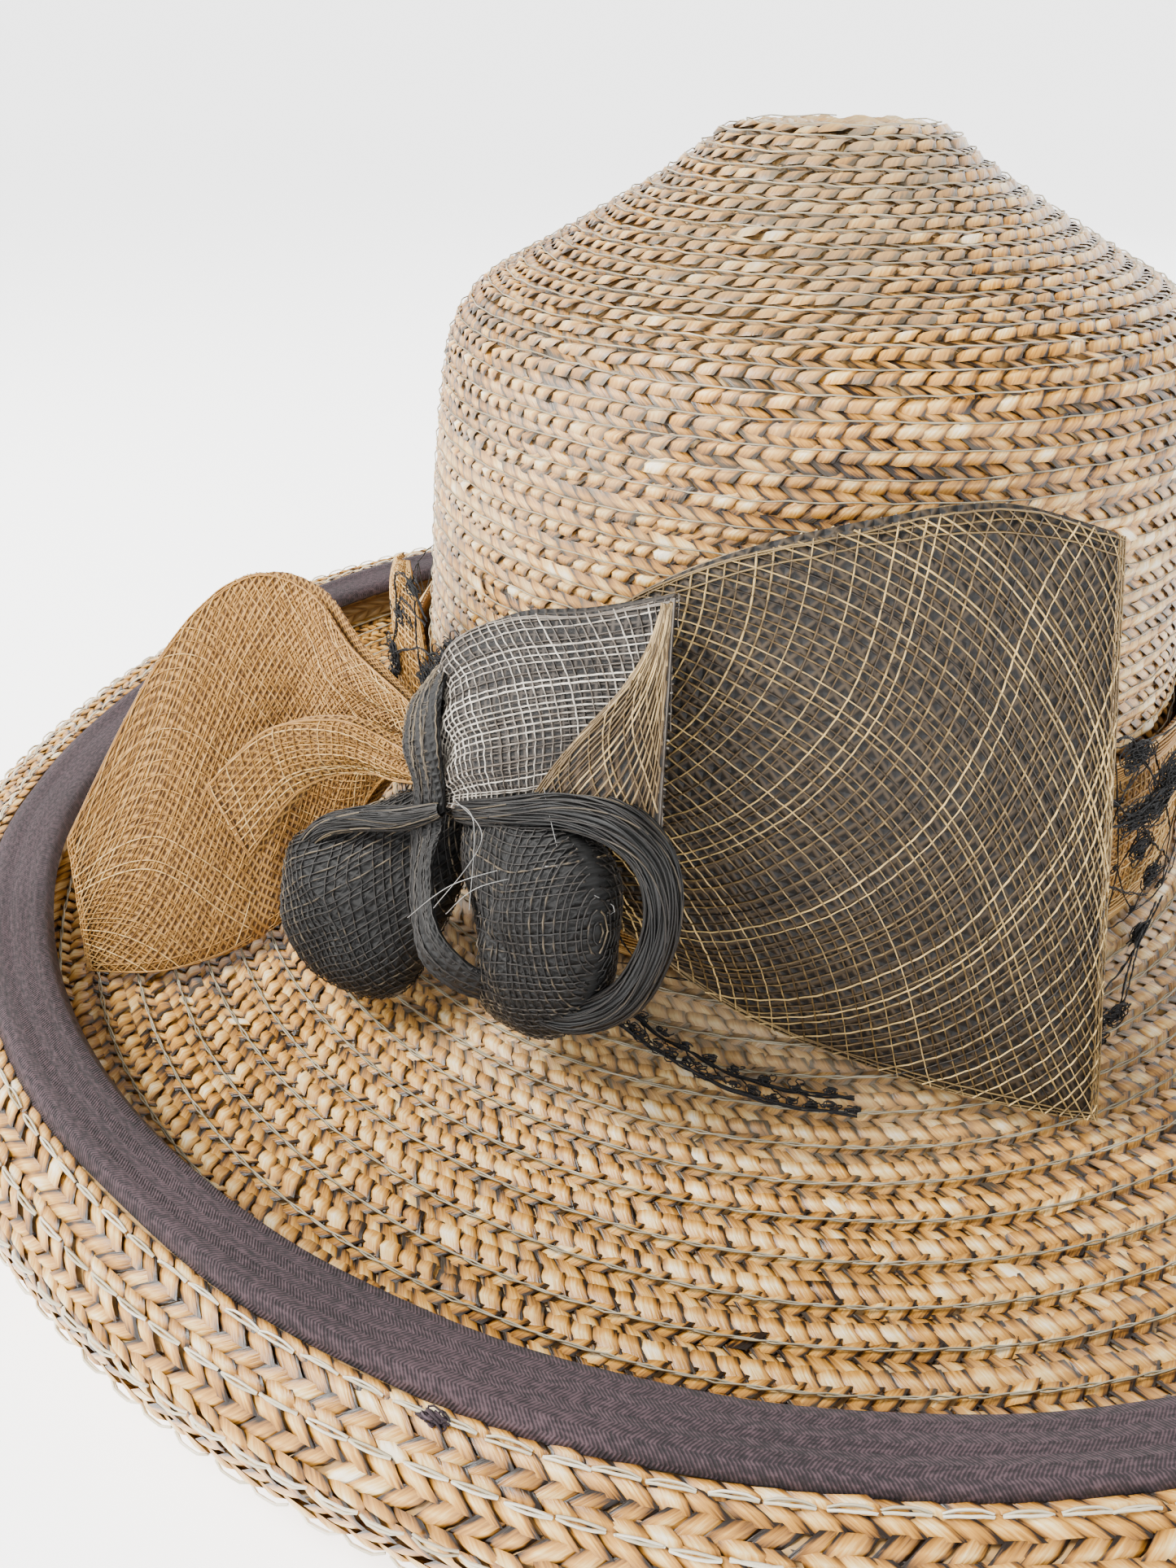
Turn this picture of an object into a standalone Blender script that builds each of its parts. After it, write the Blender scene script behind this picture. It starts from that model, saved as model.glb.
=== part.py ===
"""Straw hat with a rolled brim, a ribbon-bound edge and a sinamay bow over black lace net.

The hat stands on the flat ring under its brim at z = 0, and its axis is the Z axis. Azimuths are
degrees from the front (-Y), positive towards +X. Each soft piece is a thin wall with its own object.
"""

import math

import bmesh
import bpy
from mathutils import Vector

# Driving dimensions, in metres
HEAD_RADIUS = 0.091
CROWN_HEIGHT = 0.1437
CROWN_WALL = 0.0017
BRIM_RADIUS = 0.205
BRIM_RISE = 0.022
BRIM_WALL = 0.002
ROLL_HEIGHT = 0.0242
ROLL_RUN = 0.033
SEAT_RING = 0.015
PLAIT_STEP = 0.0006
CROWN_PITCH = 0.0062
BRIM_PITCH = 0.0080
RIBBON_WIDTH = 0.0115
RIBBON_WALL = 0.001
BAND_HEIGHT = 0.038
BAND_WALL = 0.001
BAND_HEM = 0.0004
BAND_LIFT = 0.0012
LACE_HEIGHT = 0.046
LACE_WALL = 0.001
LACE_STRAND = 0.0021
SINAMAY_WALL = 0.0011
GAP = 0.0003
TRIM_STANDOFF = 0.0036
TRIM_OVER_BAND = 0.040
KNOT_SIZE = (0.0175, 0.019, 0.019)
KNOT_PLEAT = 0.05
ROSETTE_LEFT_SIZE = (0.031, 0.022, 0.034)
ROSETTE_RIGHT_SIZE = (0.034, 0.023, 0.035)

# Counts, the azimuth of the first seam of the lace, and shares that shape the soft pieces
CROWN_SEGMENTS = 24
FIRST_SEAM = 90.0
NET_CELLS_UP = (1, 2)
BRIM_SEGMENTS = 36
PLAIN_UNDER_BAND = 0.9
ROW_FOOT = 0.06
ROW_LIP = 0.94
BAND_LEAN = 0.6
HEM_SHARE = 0.09
LEAST_OPENING = 1.3
PUFF_AT_EDGE = 0.35
PUFF_OUTWARDS = 0.7
BELLY_REACH = 1.15
STRAP_CURL = 0.12
ROSETTE_PLEAT = 0.045
ROSETTE_PLEATS = 5
ROSETTE_TAPER = 0.5
MOUTH_COSINE = 0.86
KNOT_PLEATS = 8

# Sizes that follow from the driving dimensions
CROWN_FOOT = BRIM_RISE + GAP
CROWN_RADIUS = HEAD_RADIUS + CROWN_WALL
BAND_INNER = CROWN_RADIUS + GAP
LACE_INNER = BAND_INNER + BAND_WALL + 2 * BAND_HEM + GAP
TRIM_SEAT = LACE_INNER + LACE_WALL + GAP
TRIM_REACH = TRIM_SEAT + TRIM_STANDOFF
TRIM_HEIGHT = BRIM_RISE + BAND_HEIGHT + TRIM_OVER_BAND

# Outer face of the crown: share of the crown's radius, share of its height
CROWN_PROFILE = (
    (0.22, 0.990), (0.30, 0.958), (0.37, 0.928), (0.45, 0.900), (0.54, 0.868), (0.64, 0.834), (0.73, 0.805),
    (0.79, 0.777), (0.835, 0.733), (0.862, 0.660), (0.884, 0.560), (0.900, 0.465), (0.912, 0.372),
    (0.932, 0.256), (0.957, 0.137), (0.980, 0.054), (1.000, 0.000),
)

# Middle of the brim's wall on the slope: share of the run to the seat ring, share of the rise
SLOPE_PROFILE = (
    (0.000, 1.00), (0.070, 0.985), (0.155, 0.775), (0.245, 0.600), (0.395, 0.400), (0.590, 0.215),
    (0.830, 0.060), (1.000, 0.000),
)

# Middle of the brim's wall in the roll: share of the roll's run inwards of the reach, share of its height
ROLL_PROFILE = (
    (0.640, 0.020), (0.370, 0.105), (0.120, 0.290), (0.000, 0.520), (0.040, 0.780), (0.205, 0.945),
    (0.400, 0.985), (0.570, 0.950), (0.730, 0.890),
)

# Height of the roll round the brim: azimuth in degrees, share of the roll's height
ROLL_ROUND = (
    (-180.0, 0.60), (-125.0, 0.63), (-92.0, 0.58), (-60.0, 0.88), (-30.0, 1.00), (30.0, 1.00),
    (60.0, 0.90), (92.0, 0.68), (125.0, 0.62), (180.0, 0.60),
)

# Sections of the folded loops, from the knot to the fold. Each row: azimuth, reach share and height share
# of the lower edge, the same of the upper edge, and how far the loop is puffed open, in shares of the reach.
FAN_SECTIONS = (
    (-32.0, 1.040, 0.560, -32.0, 1.035, 0.650, 0.012),
    (-25.0, 1.020, 0.440, -25.5, 1.015, 0.790, 0.014),
    (-14.0, 1.030, 0.370, -17.0, 0.990, 0.985, 0.030),
    (-2.0, 1.045, 0.250, -6.0, 0.975, 1.100, 0.045),
    (10.0, 1.100, 0.195, 7.0, 0.965, 1.165, 0.045),
    (21.0, 1.190, 0.165, 19.0, 0.970, 1.190, 0.040),
    (30.0, 1.265, 0.135, 30.0, 0.995, 1.140, 0.025),
)
LEAF_SECTIONS = (
    (-32.0, 1.130, 0.580, -34.5, 1.080, 0.680, 0.022),
    (-26.0, 1.160, 0.635, -35.5, 1.045, 0.840, 0.034),
    (-20.0, 1.180, 0.690, -27.0, 1.045, 0.955, 0.040),
    (-13.5, 1.195, 0.745, -18.0, 1.050, 1.005, 0.040),
    (-8.0, 1.210, 0.705, -9.5, 1.055, 1.060, 0.026),
)
WING_SECTIONS = (
    (-36.5, 1.050, 0.570, -36.5, 1.045, 0.650, 0.012),
    (-44.0, 1.045, 0.530, -45.0, 1.040, 0.680, 0.012),
    (-52.5, 1.075, 0.400, -54.0, 1.080, 0.725, 0.024),
    (-55.0, 1.200, 0.200, -65.0, 1.130, 0.780, 0.034),
    (-52.5, 1.390, 0.105, -68.5, 1.270, 0.800, 0.046),
    (-53.0, 1.570, 0.070, -66.5, 1.460, 0.660, 0.044),
    (-56.0, 1.735, 0.060, -61.5, 1.725, 0.300, 0.022),
)
FOLD_SECTIONS = (
    (-36.0, 1.100, 0.580, -36.5, 1.095, 0.620, 0.010),
    (-41.0, 1.110, 0.545, -41.5, 1.105, 0.625, 0.012),
    (-46.5, 1.150, 0.530, -47.0, 1.170, 0.650, 0.022),
    (-50.5, 1.250, 0.470, -52.0, 1.290, 0.610, 0.026),
    (-51.5, 1.370, 0.330, -54.5, 1.420, 0.480, 0.020),
)

# The strap over the knot, from behind the leaf to the brim: azimuth, how far it lies beyond the knot's
# front as a share of the knot's depth, height share, and half of its width as a share of the reach
STRAP_SECTIONS = (
    (-39.5, -0.620, 0.800, 0.040),
    (-37.5, -0.250, 0.765, 0.034),
    (-35.0, 0.000, 0.700, 0.028),
    (-33.5, 0.000, 0.620, 0.028),
    (-32.5, 0.180, 0.535, 0.030),
    (-29.0, 0.560, 0.475, 0.030),
    (-24.5, 0.900, 0.430, 0.030),
    (-19.5, 0.950, 0.375, 0.028),
    (-15.0, 0.700, 0.310, 0.024),
)

# Centres: azimuth, reach share, height share
KNOT_PLACE = (-32.5, 1.030, 0.610)
ROSETTE_LEFT_PLACE = (-41.0, 1.235, 0.320)
ROSETTE_RIGHT_PLACE = (-15.5, 1.205, 0.500)

# Where each rosette's root enters the knot, in shares of the knot's size (sideways, outwards, upwards),
# and the way its mouth faces
ROSETTE_LEFT_ROOT = (-0.20, 0.10, -0.34)
ROSETTE_RIGHT_ROOT = (0.25, 0.25, -0.20)
ROSETTE_LEFT_MOUTH = (-0.9, -0.3, 0.3)
ROSETTE_RIGHT_MOUTH = (0.9, -0.45, 0.25)


def clear_scene():
    """Remove what the scene holds."""
    for item in list(bpy.data.objects):
        bpy.data.objects.remove(item, do_unlink=True)


def new_collection(name):
    """Add a collection to the scene."""
    collection = bpy.data.collections.new(name)
    bpy.context.scene.collection.children.link(collection)
    return collection


def material(name, colour, roughness):
    """A Principled BSDF material of one colour."""
    result = bpy.data.materials.new(name)
    result.use_nodes = True
    shader = result.node_tree.nodes["Principled BSDF"]
    shader.inputs["Base Color"].default_value = (*colour, 1.0)
    shader.inputs["Roughness"].default_value = roughness
    shader.inputs["Metallic"].default_value = 0.0
    return result


def add_object(name, mesh_builder, look, collection):
    """Turn a bmesh into a named object with its material."""
    mesh = bpy.data.meshes.new(name)
    mesh_builder.to_mesh(mesh)
    mesh_builder.free()
    mesh.materials.append(look)
    item = bpy.data.objects.new(name, mesh)
    collection.objects.link(item)
    mesh.shade_smooth()
    mesh.set_sharp_from_angle(angle=math.radians(40.0))
    return item


def polar(azimuth, radius, height):
    """A point from its azimuth in degrees, radius and height."""
    turn = math.radians(azimuth)
    return Vector((radius * math.sin(turn), -radius * math.cos(turn), height))


def blend_rows(rows, share):
    """Read a table of rows at a share of its length, on a smooth curve through the rows."""
    last = len(rows) - 1
    place = min(max(share, 0.0), 1.0) * last
    index = min(int(place), last - 1)
    t = place - index
    before = rows[max(index - 1, 0)]
    start = rows[index]
    end = rows[index + 1]
    after = rows[min(index + 2, last)]
    return tuple(
        0.5 * (2 * b + (c - a) * t + (2 * a - 5 * b + 4 * c - d) * t * t + (3 * b - a - 3 * c + d) * t ** 3)
        for a, b, c, d in zip(before, start, end, after)
    )


def roll_share(azimuth):
    """How high the roll stands at an azimuth, as a share of its height at the front."""
    for (low, low_share), (high, high_share) in zip(ROLL_ROUND, ROLL_ROUND[1:]):
        if low <= azimuth <= high:
            t = (azimuth - low) / (high - low)
            return low_share + (high_share - low_share) * t * t * (3 - 2 * t)
    return ROLL_ROUND[0][1]


class Path:
    """A flat curve of (radius, height) points, read by its length."""

    def __init__(self, points):
        self.points = [Vector(p) for p in points]
        self.stops = [0.0]
        for a, b in zip(self.points, self.points[1:]):
            self.stops.append(self.stops[-1] + (b - a).length)
        self.length = self.stops[-1]

    def at(self, distance, side=0.0):
        """The point at a distance along the path, moved to its left by side."""
        distance = min(max(distance, 0.0), self.length)
        index = 0
        while index < len(self.stops) - 2 and self.stops[index + 1] < distance:
            index += 1
        span = self.stops[index + 1] - self.stops[index]
        t = (distance - self.stops[index]) / span
        here = self.points[index].lerp(self.points[index + 1], t)
        first = self.leg(index - 1 if t < 0.5 else index)
        second = self.leg(index if t < 0.5 else index + 1)
        weight = t + 0.5 if t < 0.5 else t - 0.5
        along = first.lerp(second, weight).normalized()
        return here + Vector((-along.y, along.x)) * side

    def leg(self, index):
        """The direction of a leg of the path."""
        index = min(max(index, 0), len(self.points) - 2)
        return (self.points[index + 1] - self.points[index]).normalized()


def smooth_path(points, count):
    """A path through a smooth curve of the points."""
    return Path([blend_rows(points, step / count) for step in range(count + 1)])


def turned(name, profile, segments, look, collection):
    """A closed profile of (radius, height) points turned round the axis."""
    builder = bmesh.new()
    verts = [builder.verts.new((radius, 0.0, height)) for radius, height in profile]
    edges = [builder.edges.new((a, b)) for a, b in zip(verts, verts[1:] + verts[:1])]
    if min(radius for radius, _ in profile) < GAP:
        builder.edges.remove(edges.pop())
    bmesh.ops.spin(
        builder, geom=builder.verts[:] + builder.edges[:], cent=(0, 0, 0), axis=(0, 0, 1),
        angle=math.tau, steps=segments, use_merge=True,
    )
    bmesh.ops.remove_doubles(builder, verts=builder.verts[:], dist=GAP / 30)
    bmesh.ops.recalc_face_normals(builder, faces=builder.faces[:])
    return add_object(name, builder, look, collection)


def lofted_ring(name, section, segments, look, collection):
    """A ring lofted through closed sections, one for each azimuth."""
    builder = bmesh.new()
    rings = []
    for step in range(segments):
        azimuth = -180.0 + 360.0 * step / segments
        rings.append([builder.verts.new(polar(azimuth, p.x, p.y)) for p in section(azimuth)])
    count = len(rings[0])
    for step in range(segments):
        here = rings[step]
        there = rings[(step + 1) % segments]
        for i in range(count):
            j = (i + 1) % count
            builder.faces.new((here[i], here[j], there[j], there[i]))
    bmesh.ops.recalc_face_normals(builder, faces=builder.faces[:])
    return add_object(name, builder, look, collection)


def crown_path():
    """The crown's outer face, from the rim of its flat tip down to its foot."""
    points = [(reach * CROWN_RADIUS, CROWN_FOOT + rise * CROWN_HEIGHT) for reach, rise in CROWN_PROFILE]
    return smooth_path(points, 3 * len(points))


def make_crown(look, collection):
    """The domed crown: rows of plait that lap over the row below, and a smooth inside."""
    path = crown_path()
    plain = BAND_HEIGHT * PLAIN_UNDER_BAND
    rows = round((path.length - plain) / CROWN_PITCH)
    pitch = (path.length - plain) / rows
    profile = [(0.0, path.at(0.0).y + PLAIT_STEP)]
    for row in range(rows):
        profile.append(path.at((row + ROW_FOOT) * pitch, 0.0 if row else PLAIT_STEP))
        profile.append(path.at((row + ROW_LIP) * pitch, PLAIT_STEP))
    profile.append(path.at(path.length - plain))
    profile.append(path.at(path.length - plain / 2))
    profile.append(path.at(path.length))
    inner_steps = 11
    foot = path.at(path.length)
    profile.append((HEAD_RADIUS, foot.y))
    for step in range(1, inner_steps + 1):
        point = path.at(path.length * (1 - step / inner_steps), -CROWN_WALL)
        profile.append(point)
    profile.append((0.0, path.at(0.0).y - CROWN_WALL))
    return turned("crown", [tuple(p) for p in profile], CROWN_SEGMENTS, look, collection)


def brim_path(azimuth):
    """The middle of the brim's wall at an azimuth, from the head opening to the rolled-over edge."""
    half = BRIM_WALL / 2
    ring_start = BRIM_RADIUS - ROLL_RUN - SEAT_RING
    run = ring_start - HEAD_RADIUS
    drop = BRIM_RISE - BRIM_WALL
    slope = [(HEAD_RADIUS + share * run, half + rise * drop) for share, rise in SLOPE_PROFILE]
    reach = BRIM_RADIUS - half - PLAIT_STEP
    tall = (ROLL_HEIGHT - BRIM_WALL) * roll_share(azimuth)
    ring = [(ring_start + SEAT_RING * 0.5, half), (ring_start + SEAT_RING, half)]
    roll = [(reach - share * ROLL_RUN, half + rise * tall) for share, rise in ROLL_PROFILE]
    return Path(slope + ring + roll)


def make_brim(look, collection):
    """The brim: rows of plait stepping down the slope and round the outside of the roll."""
    half = BRIM_WALL / 2
    front = brim_path(0.0)
    ring_start = front.stops[len(SLOPE_PROFILE) - 1]
    ring_stop = front.stops[len(SLOPE_PROFILE) + 1]
    ribbed = ring_start + SEAT_RING * 0.5
    rows = round((ribbed - front.stops[1]) / BRIM_PITCH)
    roll_rows = 4
    under_steps = 4

    def section(azimuth):
        path = brim_path(azimuth)
        pitch = (ribbed - path.stops[1]) / rows
        edge = path.length
        bind = edge - RIBBON_WIDTH - GAP
        points = [path.at(0.0, half), path.at(path.stops[1], half)]
        for row in range(rows):
            start = path.stops[1] + row * pitch
            points.append(path.at(start + ROW_FOOT * pitch, half + PLAIT_STEP))
            points.append(path.at(start + ROW_LIP * pitch, half))
        for index in range(len(SLOPE_PROFILE) + 1, len(path.stops) - 1):
            points.append(path.at(path.stops[index], half))
        points.append(path.at(edge, half))
        points.append(path.at(edge, -half))
        points.append(path.at(bind, -half))
        roll_pitch = (bind - ring_stop) / roll_rows
        for row in range(roll_rows):
            stop = bind - row * roll_pitch
            step_out = PLAIT_STEP if row < roll_rows - 1 else 0.0
            points.append(path.at(stop - ROW_FOOT * roll_pitch, -half - step_out))
            points.append(path.at(stop - ROW_LIP * roll_pitch, -half))
        points.append(path.at(ring_stop - SEAT_RING * 0.2, -half))
        for step in range(under_steps, 0, -1):
            points.append(path.at(ring_start * step / under_steps, -half))
        points.append(path.at(0.0, -half))
        return points

    return lofted_ring("brim", section, BRIM_SEGMENTS, look, collection)


def make_ribbon(look, collection):
    """The binding: a ribbon folded over the brim's edge, lying on its outside and its inside."""
    near = BRIM_WALL / 2 + GAP
    far = near + RIBBON_WALL
    steps = 2

    def section(azimuth):
        path = brim_path(azimuth)
        edge = path.length
        start = edge - RIBBON_WIDTH
        tip = path.leg(len(path.points) - 2)
        outer = [path.at(start + RIBBON_WIDTH * k / steps, -far) for k in range(steps + 1)]
        inner = [path.at(start + RIBBON_WIDTH * k / steps, -near) for k in range(steps + 1)]
        back_outer = [path.at(edge - RIBBON_WIDTH * k / steps, far) for k in range(steps)]
        back_inner = [path.at(edge - RIBBON_WIDTH * k / steps, near) for k in range(steps)]
        outer[-1] += tip * (GAP + RIBBON_WALL * 0.6)
        inner[-1] += tip * GAP
        back_outer[0] += tip * (GAP + RIBBON_WALL * 0.6)
        back_inner[0] += tip * GAP
        nose = path.at(edge) + tip * (GAP + RIBBON_WALL)
        return outer + [nose] + back_outer + back_inner[::-1] + inner[::-1]

    return lofted_ring("edge_ribbon", section, BRIM_SEGMENTS, look, collection)


def band_radius(height):
    """Inner radius of the band at a height above its foot: it leans in with the crown."""
    path = crown_path()
    lean = path.at(path.length).x - path.at(path.length - height).x
    return BAND_INNER - BAND_LEAN * lean


def make_band(look, collection):
    """The crown band: a strip of folded sinamay that bellies out between its two hems."""
    foot = CROWN_FOOT + 4 * GAP
    hem = BAND_HEIGHT * HEM_SHARE
    heights = (0.0, hem, BAND_HEIGHT * 0.5, BAND_HEIGHT - hem, BAND_HEIGHT)
    inner = [(band_radius(h), foot + h) for h in heights]
    outer = []
    for index, h in enumerate(heights):
        thick = BAND_WALL + (BAND_LIFT / 2 if index == 2 else 0.0)
        outer.append((band_radius(h) + thick, foot + h))
    lip = []
    for h in (hem, 0.0):
        lip.append((band_radius(h) + BAND_WALL + BAND_HEM, foot + h))
    top_lip = []
    for h in (BAND_HEIGHT, BAND_HEIGHT - hem):
        top_lip.append((band_radius(h) + BAND_WALL + BAND_HEM, foot + h))
    profile = top_lip + [outer[3], outer[2], outer[1]] + lip + inner
    return turned("crown_band", profile, CROWN_SEGMENTS, look, collection)


def make_lace(look, collection):
    """The lace net: a strip of open cells laid round the band."""
    rows = NET_CELLS_UP[-1]
    builder = bmesh.new()
    bmesh.ops.create_grid(builder, x_segments=CROWN_SEGMENTS, y_segments=rows, size=0.5)
    bmesh.ops.inset_individual(builder, faces=builder.faces[:], thickness=GAP / 3)
    holes = [face for face in builder.faces if face.calc_area() > 0.5 / (CROWN_SEGMENTS * rows)]
    foot = CROWN_FOOT + 2 * GAP
    cell_height = LACE_HEIGHT / rows
    cell_turn = 360.0 / CROWN_SEGMENTS
    shrink_up = 1 - 2 * LACE_STRAND / cell_height
    shrink_round = 1 - 2 * LACE_STRAND / (math.tau * LACE_INNER / CROWN_SEGMENTS)
    for face in holes:
        centre = face.calc_center_median()
        for vert in face.verts:
            away = vert.co - centre
            vert.co = centre + Vector((away.x * shrink_round, away.y * shrink_up, 0.0))
    bmesh.ops.delete(builder, geom=holes, context="FACES_ONLY")
    middle = LACE_INNER + LACE_WALL / 2
    for vert in builder.verts:
        across = vert.co.x + 0.5
        up = vert.co.y + 0.5
        column = across * CROWN_SEGMENTS
        start = math.floor(column + 0.001)
        lean = BAND_LEAN * (BAND_INNER - band_radius(min(up * LACE_HEIGHT, BAND_HEIGHT)))
        radius = middle - lean
        low = polar(FIRST_SEAM + start * cell_turn, radius, foot + up * LACE_HEIGHT)
        high = polar(FIRST_SEAM + (start + 1) * cell_turn, radius, foot + up * LACE_HEIGHT)
        vert.co = low.lerp(high, column - start)
    bmesh.ops.remove_doubles(builder, verts=builder.verts[:], dist=GAP / 30)
    bmesh.ops.recalc_face_normals(builder, faces=builder.faces[:])
    item = add_object("lace_net", builder, look, collection)
    add_wall(item, LACE_WALL)
    return item


def add_wall(item, thickness):
    """Give an open surface its wall, half on each side."""
    wall = item.modifiers.new("wall", "SOLIDIFY")
    wall.thickness = thickness
    wall.offset = 0.0
    wall.use_even_offset = False
    return wall


def loop_point(sections, share, across, side):
    """A point of a folded loop.

    share runs from the knot to the fold, across from the lower edge to the upper one, and side is 1 on
    the outer layer and -1 on the layer nearer the crown.
    """
    low_turn, low_reach, low_rise, high_turn, high_reach, high_rise, puff = blend_rows(sections, share)
    low = polar(low_turn, low_reach * TRIM_REACH, low_rise * TRIM_HEIGHT)
    high = polar(high_turn, high_reach * TRIM_REACH, high_rise * TRIM_HEIGHT)
    base = low.lerp(high, across)
    out = Vector((base.x, base.y, 0.0)).normalized()
    belly = math.sin(math.pi * across) * math.sin(math.pi * min(share * BELLY_REACH, 1.0))
    full = puff * TRIM_REACH
    depth = LEAST_OPENING * SINAMAY_WALL + full * (PUFF_AT_EDGE + (1 - PUFF_AT_EDGE) * belly)
    return base + out * (depth * (side - 1) / 2 + full * PUFF_OUTWARDS * belly)


def make_loop(name, sections, along, across, look, collection):
    """A loop of sinamay folded back on itself: two layers joined at the fold, open at its sides."""
    builder = bmesh.new()
    bmesh.ops.create_grid(builder, x_segments=2 * along + 1, y_segments=across, size=0.5)
    for vert in builder.verts:
        step = round((vert.co.x + 0.5) * (2 * along + 1))
        over = step <= along
        share = step / along if over else (2 * along + 1 - step) / along
        vert.co = loop_point(sections, share, vert.co.y + 0.5, 1 if over else -1)
    item = add_object(name, builder, look, collection)
    add_wall(item, SINAMAY_WALL)
    return item


def make_strap(look, collection):
    """The strap that crosses the knot and falls between the rosettes."""
    along = 12
    across = 2
    knot_front = KNOT_PLACE[1] * TRIM_REACH + KNOT_SIZE[1] / 2 * (1 + KNOT_PLEAT)
    seat = knot_front + GAP + SINAMAY_WALL / 2
    builder = bmesh.new()
    bmesh.ops.create_grid(builder, x_segments=along, y_segments=across, size=0.5)
    for vert in builder.verts:
        turn, beyond, rise, half = blend_rows(STRAP_SECTIONS, vert.co.x + 0.5)
        out = polar(turn, 1.0, 0.0)
        side = Vector((-out.y, out.x, 0.0))
        curl = STRAP_CURL * half * TRIM_REACH * (2 * vert.co.y) ** 2
        centre = polar(turn, seat + beyond * KNOT_SIZE[1], rise * TRIM_HEIGHT)
        vert.co = centre + side * (2 * vert.co.y * half * TRIM_REACH) - out * curl
    item = add_object("bow_strap", builder, look, collection)
    add_wall(item, SINAMAY_WALL)
    return item


def place_matrix(place):
    """The centre and the outward, sideways and upward directions at a place on the trim."""
    turn, reach, rise = place
    centre = polar(turn, reach * TRIM_REACH, rise * TRIM_HEIGHT)
    out = polar(turn, 1.0, 0.0)
    side = Vector((-out.y, out.x, 0.0))
    return centre, side, out, Vector((0.0, 0.0, 1.0))


def knot_ball(grown):
    """The knot's ball with soft pleats running down it, grown by a length on every side."""
    centre, side, out, up = place_matrix(KNOT_PLACE)
    wide, deep, tall = (value + 2 * grown for value in KNOT_SIZE)
    builder = bmesh.new()
    bmesh.ops.create_uvsphere(builder, u_segments=2 * KNOT_PLEATS, v_segments=KNOT_PLEATS, radius=0.5)
    for vert in builder.verts:
        local = vert.co.copy()
        fullness = 1 + KNOT_PLEAT * math.cos(KNOT_PLEATS * math.atan2(local.y, local.x))
        sideways = side * (local.x * wide * fullness)
        outwards = out * (-local.y * deep * fullness)
        vert.co = centre + sideways + outwards + up * (local.z * tall)
    bmesh.ops.recalc_face_normals(builder, faces=builder.faces[:])
    return builder


def make_knot(look, collection):
    """The knot: a tight gathered core."""
    return add_object("bow_knot", knot_ball(0.0), look, collection)


def as_guide(cutter):
    """Mark a cutter: never rendered, drawn as wire."""
    cutter.hide_render = True
    cutter.display_type = "WIRE"
    return cutter


def knot_cutter(look, guides):
    """The knot grown by the gap on every side, to trim the roots that meet it."""
    return as_guide(add_object("knot_room", knot_ball(GAP), look, guides))


def seat_cutter(look, guides):
    """The room of the crown, band and net with the gap round them, to trim what is sewn on them."""
    low = CROWN_FOOT
    high = CROWN_FOOT + LACE_HEIGHT + 2 * GAP
    lean = BAND_LEAN * (BAND_INNER - band_radius(BAND_HEIGHT))
    profile = [(0.0, high), (TRIM_SEAT - lean, high), (TRIM_SEAT, low), (0.0, low)]
    return as_guide(turned("seat_room", profile, CROWN_SEGMENTS, look, guides))


def make_rosette(name, place, size, root, mouth, look, collection):
    """A pouch of sinamay gathered into the knot: a hollow puff whose mouth faces up and outwards."""
    centre = place_matrix(place)[0]
    knot, *ways = place_matrix(KNOT_PLACE)
    for way, share, length in zip(ways, root, KNOT_SIZE):
        knot += way * (share * length)
    up = (knot - centre).normalized()
    out = (ways[1] - up * ways[1].dot(up)).normalized()
    side = out.cross(up)
    reach = (knot - centre).length
    builder = bmesh.new()
    bmesh.ops.create_uvsphere(builder, u_segments=14, v_segments=8, radius=1.0)
    facing = Vector(mouth).normalized()
    opened = [
        face for face in builder.faces
        if face.calc_center_median().normalized().dot(facing) > MOUTH_COSINE
    ]
    bmesh.ops.delete(builder, geom=opened, context="FACES")
    for vert in builder.verts:
        local = vert.co.copy()
        pleat = 1 + ROSETTE_PLEAT * math.cos(ROSETTE_PLEATS * math.atan2(local.y, local.x))
        fullness = pleat * (1 - ROSETTE_TAPER * max(local.z, 0.0))
        length = reach if local.z > 0 else size[2] / 2
        sideways = side * (local.x * size[0] / 2 * fullness)
        outwards = out * (-local.y * size[1] / 2 * fullness)
        vert.co = centre + sideways + outwards + up * (local.z * length)
    bmesh.ops.recalc_face_normals(builder, faces=builder.faces[:])
    item = add_object(name, builder, look, collection)
    add_wall(item, SINAMAY_WALL)
    return item


def trim(item, *cutters):
    """Cut a piece back so that it stops at what it is sewn to."""
    for cutter in cutters:
        cut = item.modifiers.new("seat", "BOOLEAN")
        cut.operation = "DIFFERENCE"
        cut.solver = "EXACT"
        cut.object = cutter


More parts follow.
